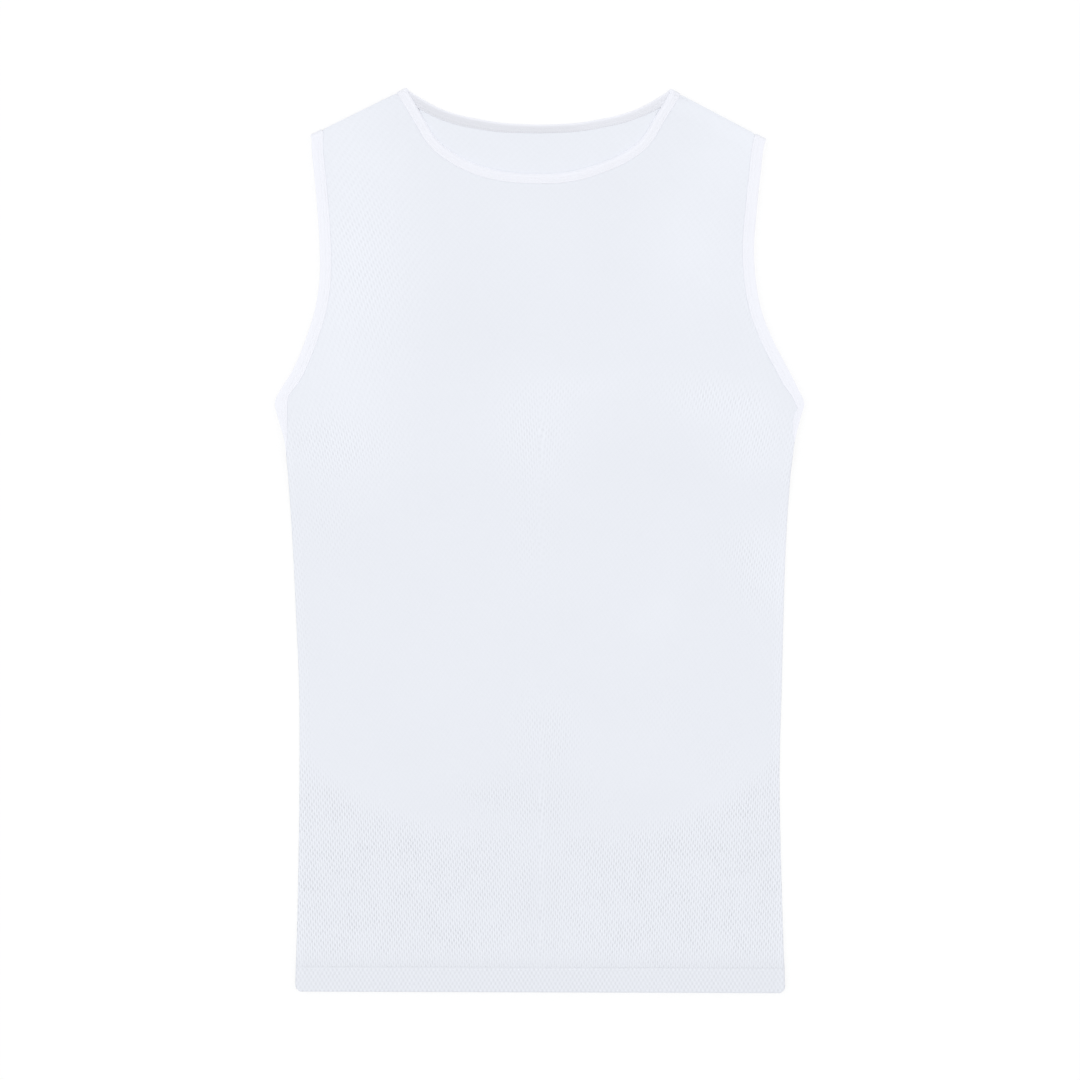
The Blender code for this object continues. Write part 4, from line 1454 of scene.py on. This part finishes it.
CAMERA_PLACE = (-0.0003, 0.0003, 2.323)
CAMERA_LENS = 100.0
FLOOR_SIZE = 12.0
FLOOR_DROP = 0.05 * MM              # below the lowest point of the shirt
FLOOR_COLOUR = 0.92
FLOOR_SHADOW = 0.20                 # share of the floor's own shading that the camera sees
WORLD_COLOUR = (0.985, 0.99, 1.0, 1.0)
WORLD_FILL = 0.80
Lamp = namedtuple("Lamp", "name place size power")
LAMPS = [
    Lamp("key", (-1.3, 0.2, 2.5), 1.6, 14.2),
    Lamp("fill", (1.4, 0.2, 2.6), 2.0, 13.2),
]


def seen_directly(graph):
    """1 where a ray comes from the camera, a mirror or glass."""
    path = graph.node("ShaderNodeLightPath")
    either = graph.math("MAXIMUM", path.outputs["Is Camera Ray"], path.outputs["Is Glossy Ray"])
    return graph.math("MAXIMUM", either, path.outputs["Is Transmission Ray"])


def make_floor():
    """A plain floor that shows white, with a share of the shadow on it."""
    mesh = bpy.data.meshes.new("floor")
    half = FLOOR_SIZE / 2
    low = GROUND - FLOOR_DROP
    mesh.from_pydata([(-half, -half, low), (half, -half, low), (half, half, low),
                      (-half, half, low)], [], [(0, 1, 2, 3)])
    material = bpy.data.materials.new("white_floor")
    material.use_nodes = True
    graph = Graph(material.node_tree)
    seen = seen_directly(graph)
    shader = material.node_tree.nodes["Principled BSDF"]
    seen_share = graph.minus(1.0, graph.times(seen, 1.0 - FLOOR_SHADOW))
    graph.feed(shader.inputs["Base Color"], graph.times(FLOOR_COLOUR, seen_share))
    shader.inputs["Roughness"].default_value = 1.0
    shader.inputs["Specular IOR Level"].default_value = 0.0
    shader.inputs["Emission Color"].default_value = (1.0, 1.0, 1.0, 1.0)
    graph.feed(shader.inputs["Emission Strength"],
               graph.times(seen, 1.0 - FLOOR_COLOUR * FLOOR_SHADOW))
    mesh.materials.append(material)
    floor = bpy.data.objects.new("floor", mesh)
    bpy.context.scene.collection.objects.link(floor)


def make_world():
    """A soft studio light from all round, white where it is seen directly."""
    world = bpy.data.worlds.new("studio")
    world.use_nodes = True
    graph = Graph(world.node_tree)
    background = world.node_tree.nodes["Background"]
    background.inputs["Color"].default_value = WORLD_COLOUR
    rest = graph.times(seen_directly(graph), 1.0 - WORLD_FILL)
    graph.feed(background.inputs["Strength"], graph.plus(WORLD_FILL, rest))
    bpy.context.scene.world = world


def make_lamps():
    for lamp in LAMPS:
        light = bpy.data.lights.new(lamp.name, "AREA")
        light.size = lamp.size
        light.energy = lamp.power
        lit = bpy.data.objects.new(lamp.name, light)
        lit.location = lamp.place
        lit.rotation_euler = (-Vector(lamp.place)).to_track_quat("-Z", "Y").to_euler()
        bpy.context.scene.collection.objects.link(lit)


def make_camera():
    """Straight above the shirt, with its neck at the top of the view."""
    camera = bpy.data.cameras.new("camera")
    camera.lens = CAMERA_LENS
    seen = bpy.data.objects.new("camera", camera)
    seen.location = CAMERA_PLACE
    bpy.context.scene.collection.objects.link(seen)
    bpy.context.scene.camera = seen


# ---------------------------------------------------------------- the shirt


def finish_piece(piece, slot, *nodes):
    """Every piece rides on the one body, and may replace its solid."""
    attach(piece, "root")
    if nodes:
        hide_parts(*nodes)
    return piece


def make_shirt():
    knit, plain, thread = mesh_cloth(), binding_cloth(), sewing_thread()
    back = finish_piece(make_panel(BACK, "back_panel_cloth", knit), "mesh_cloth", "back_panel")
    front = finish_piece(make_panel(FRONT, "front_panel_cloth", knit), "mesh_cloth",
                         "front_panel")
    hems = [finish_piece(make_stitching(name, hem_lines(face), thread), "mesh_cloth")
            for name, face in (("front_hem_stitches", FRONT), ("back_hem_stitches", BACK))]
    strip = neck_strip()
    neck = make_binding("neck_binding_cloth", strip, True, NECK_TONE, plain)
    finish_piece(neck, "binding_cloth", "neck_binding")
    lines = needle_lines(strip, True) + needle_lines(strip, True, BACK)
    sewn = finish_piece(make_stitching("neck_stitches", lines, thread), "binding_cloth")
    for side, word in ((LEFT, "left"), (RIGHT, "right")):
        strip = armhole_strip(side)
        piece = make_binding("armhole_binding_%s_cloth" % word, strip, False, ARMHOLE_TONE, plain)
        finish_piece(piece, "binding_cloth", "armhole_binding_%s" % word)
        sewn = make_stitching("armhole_stitches_%s" % word, needle_lines(strip, False), thread)
        finish_piece(sewn, "binding_cloth")


def use_plain_view():
    bpy.context.scene.view_settings.view_transform = "Standard"


make_camera()
make_floor()
make_world()
make_lamps()
use_plain_view()
make_shirt()
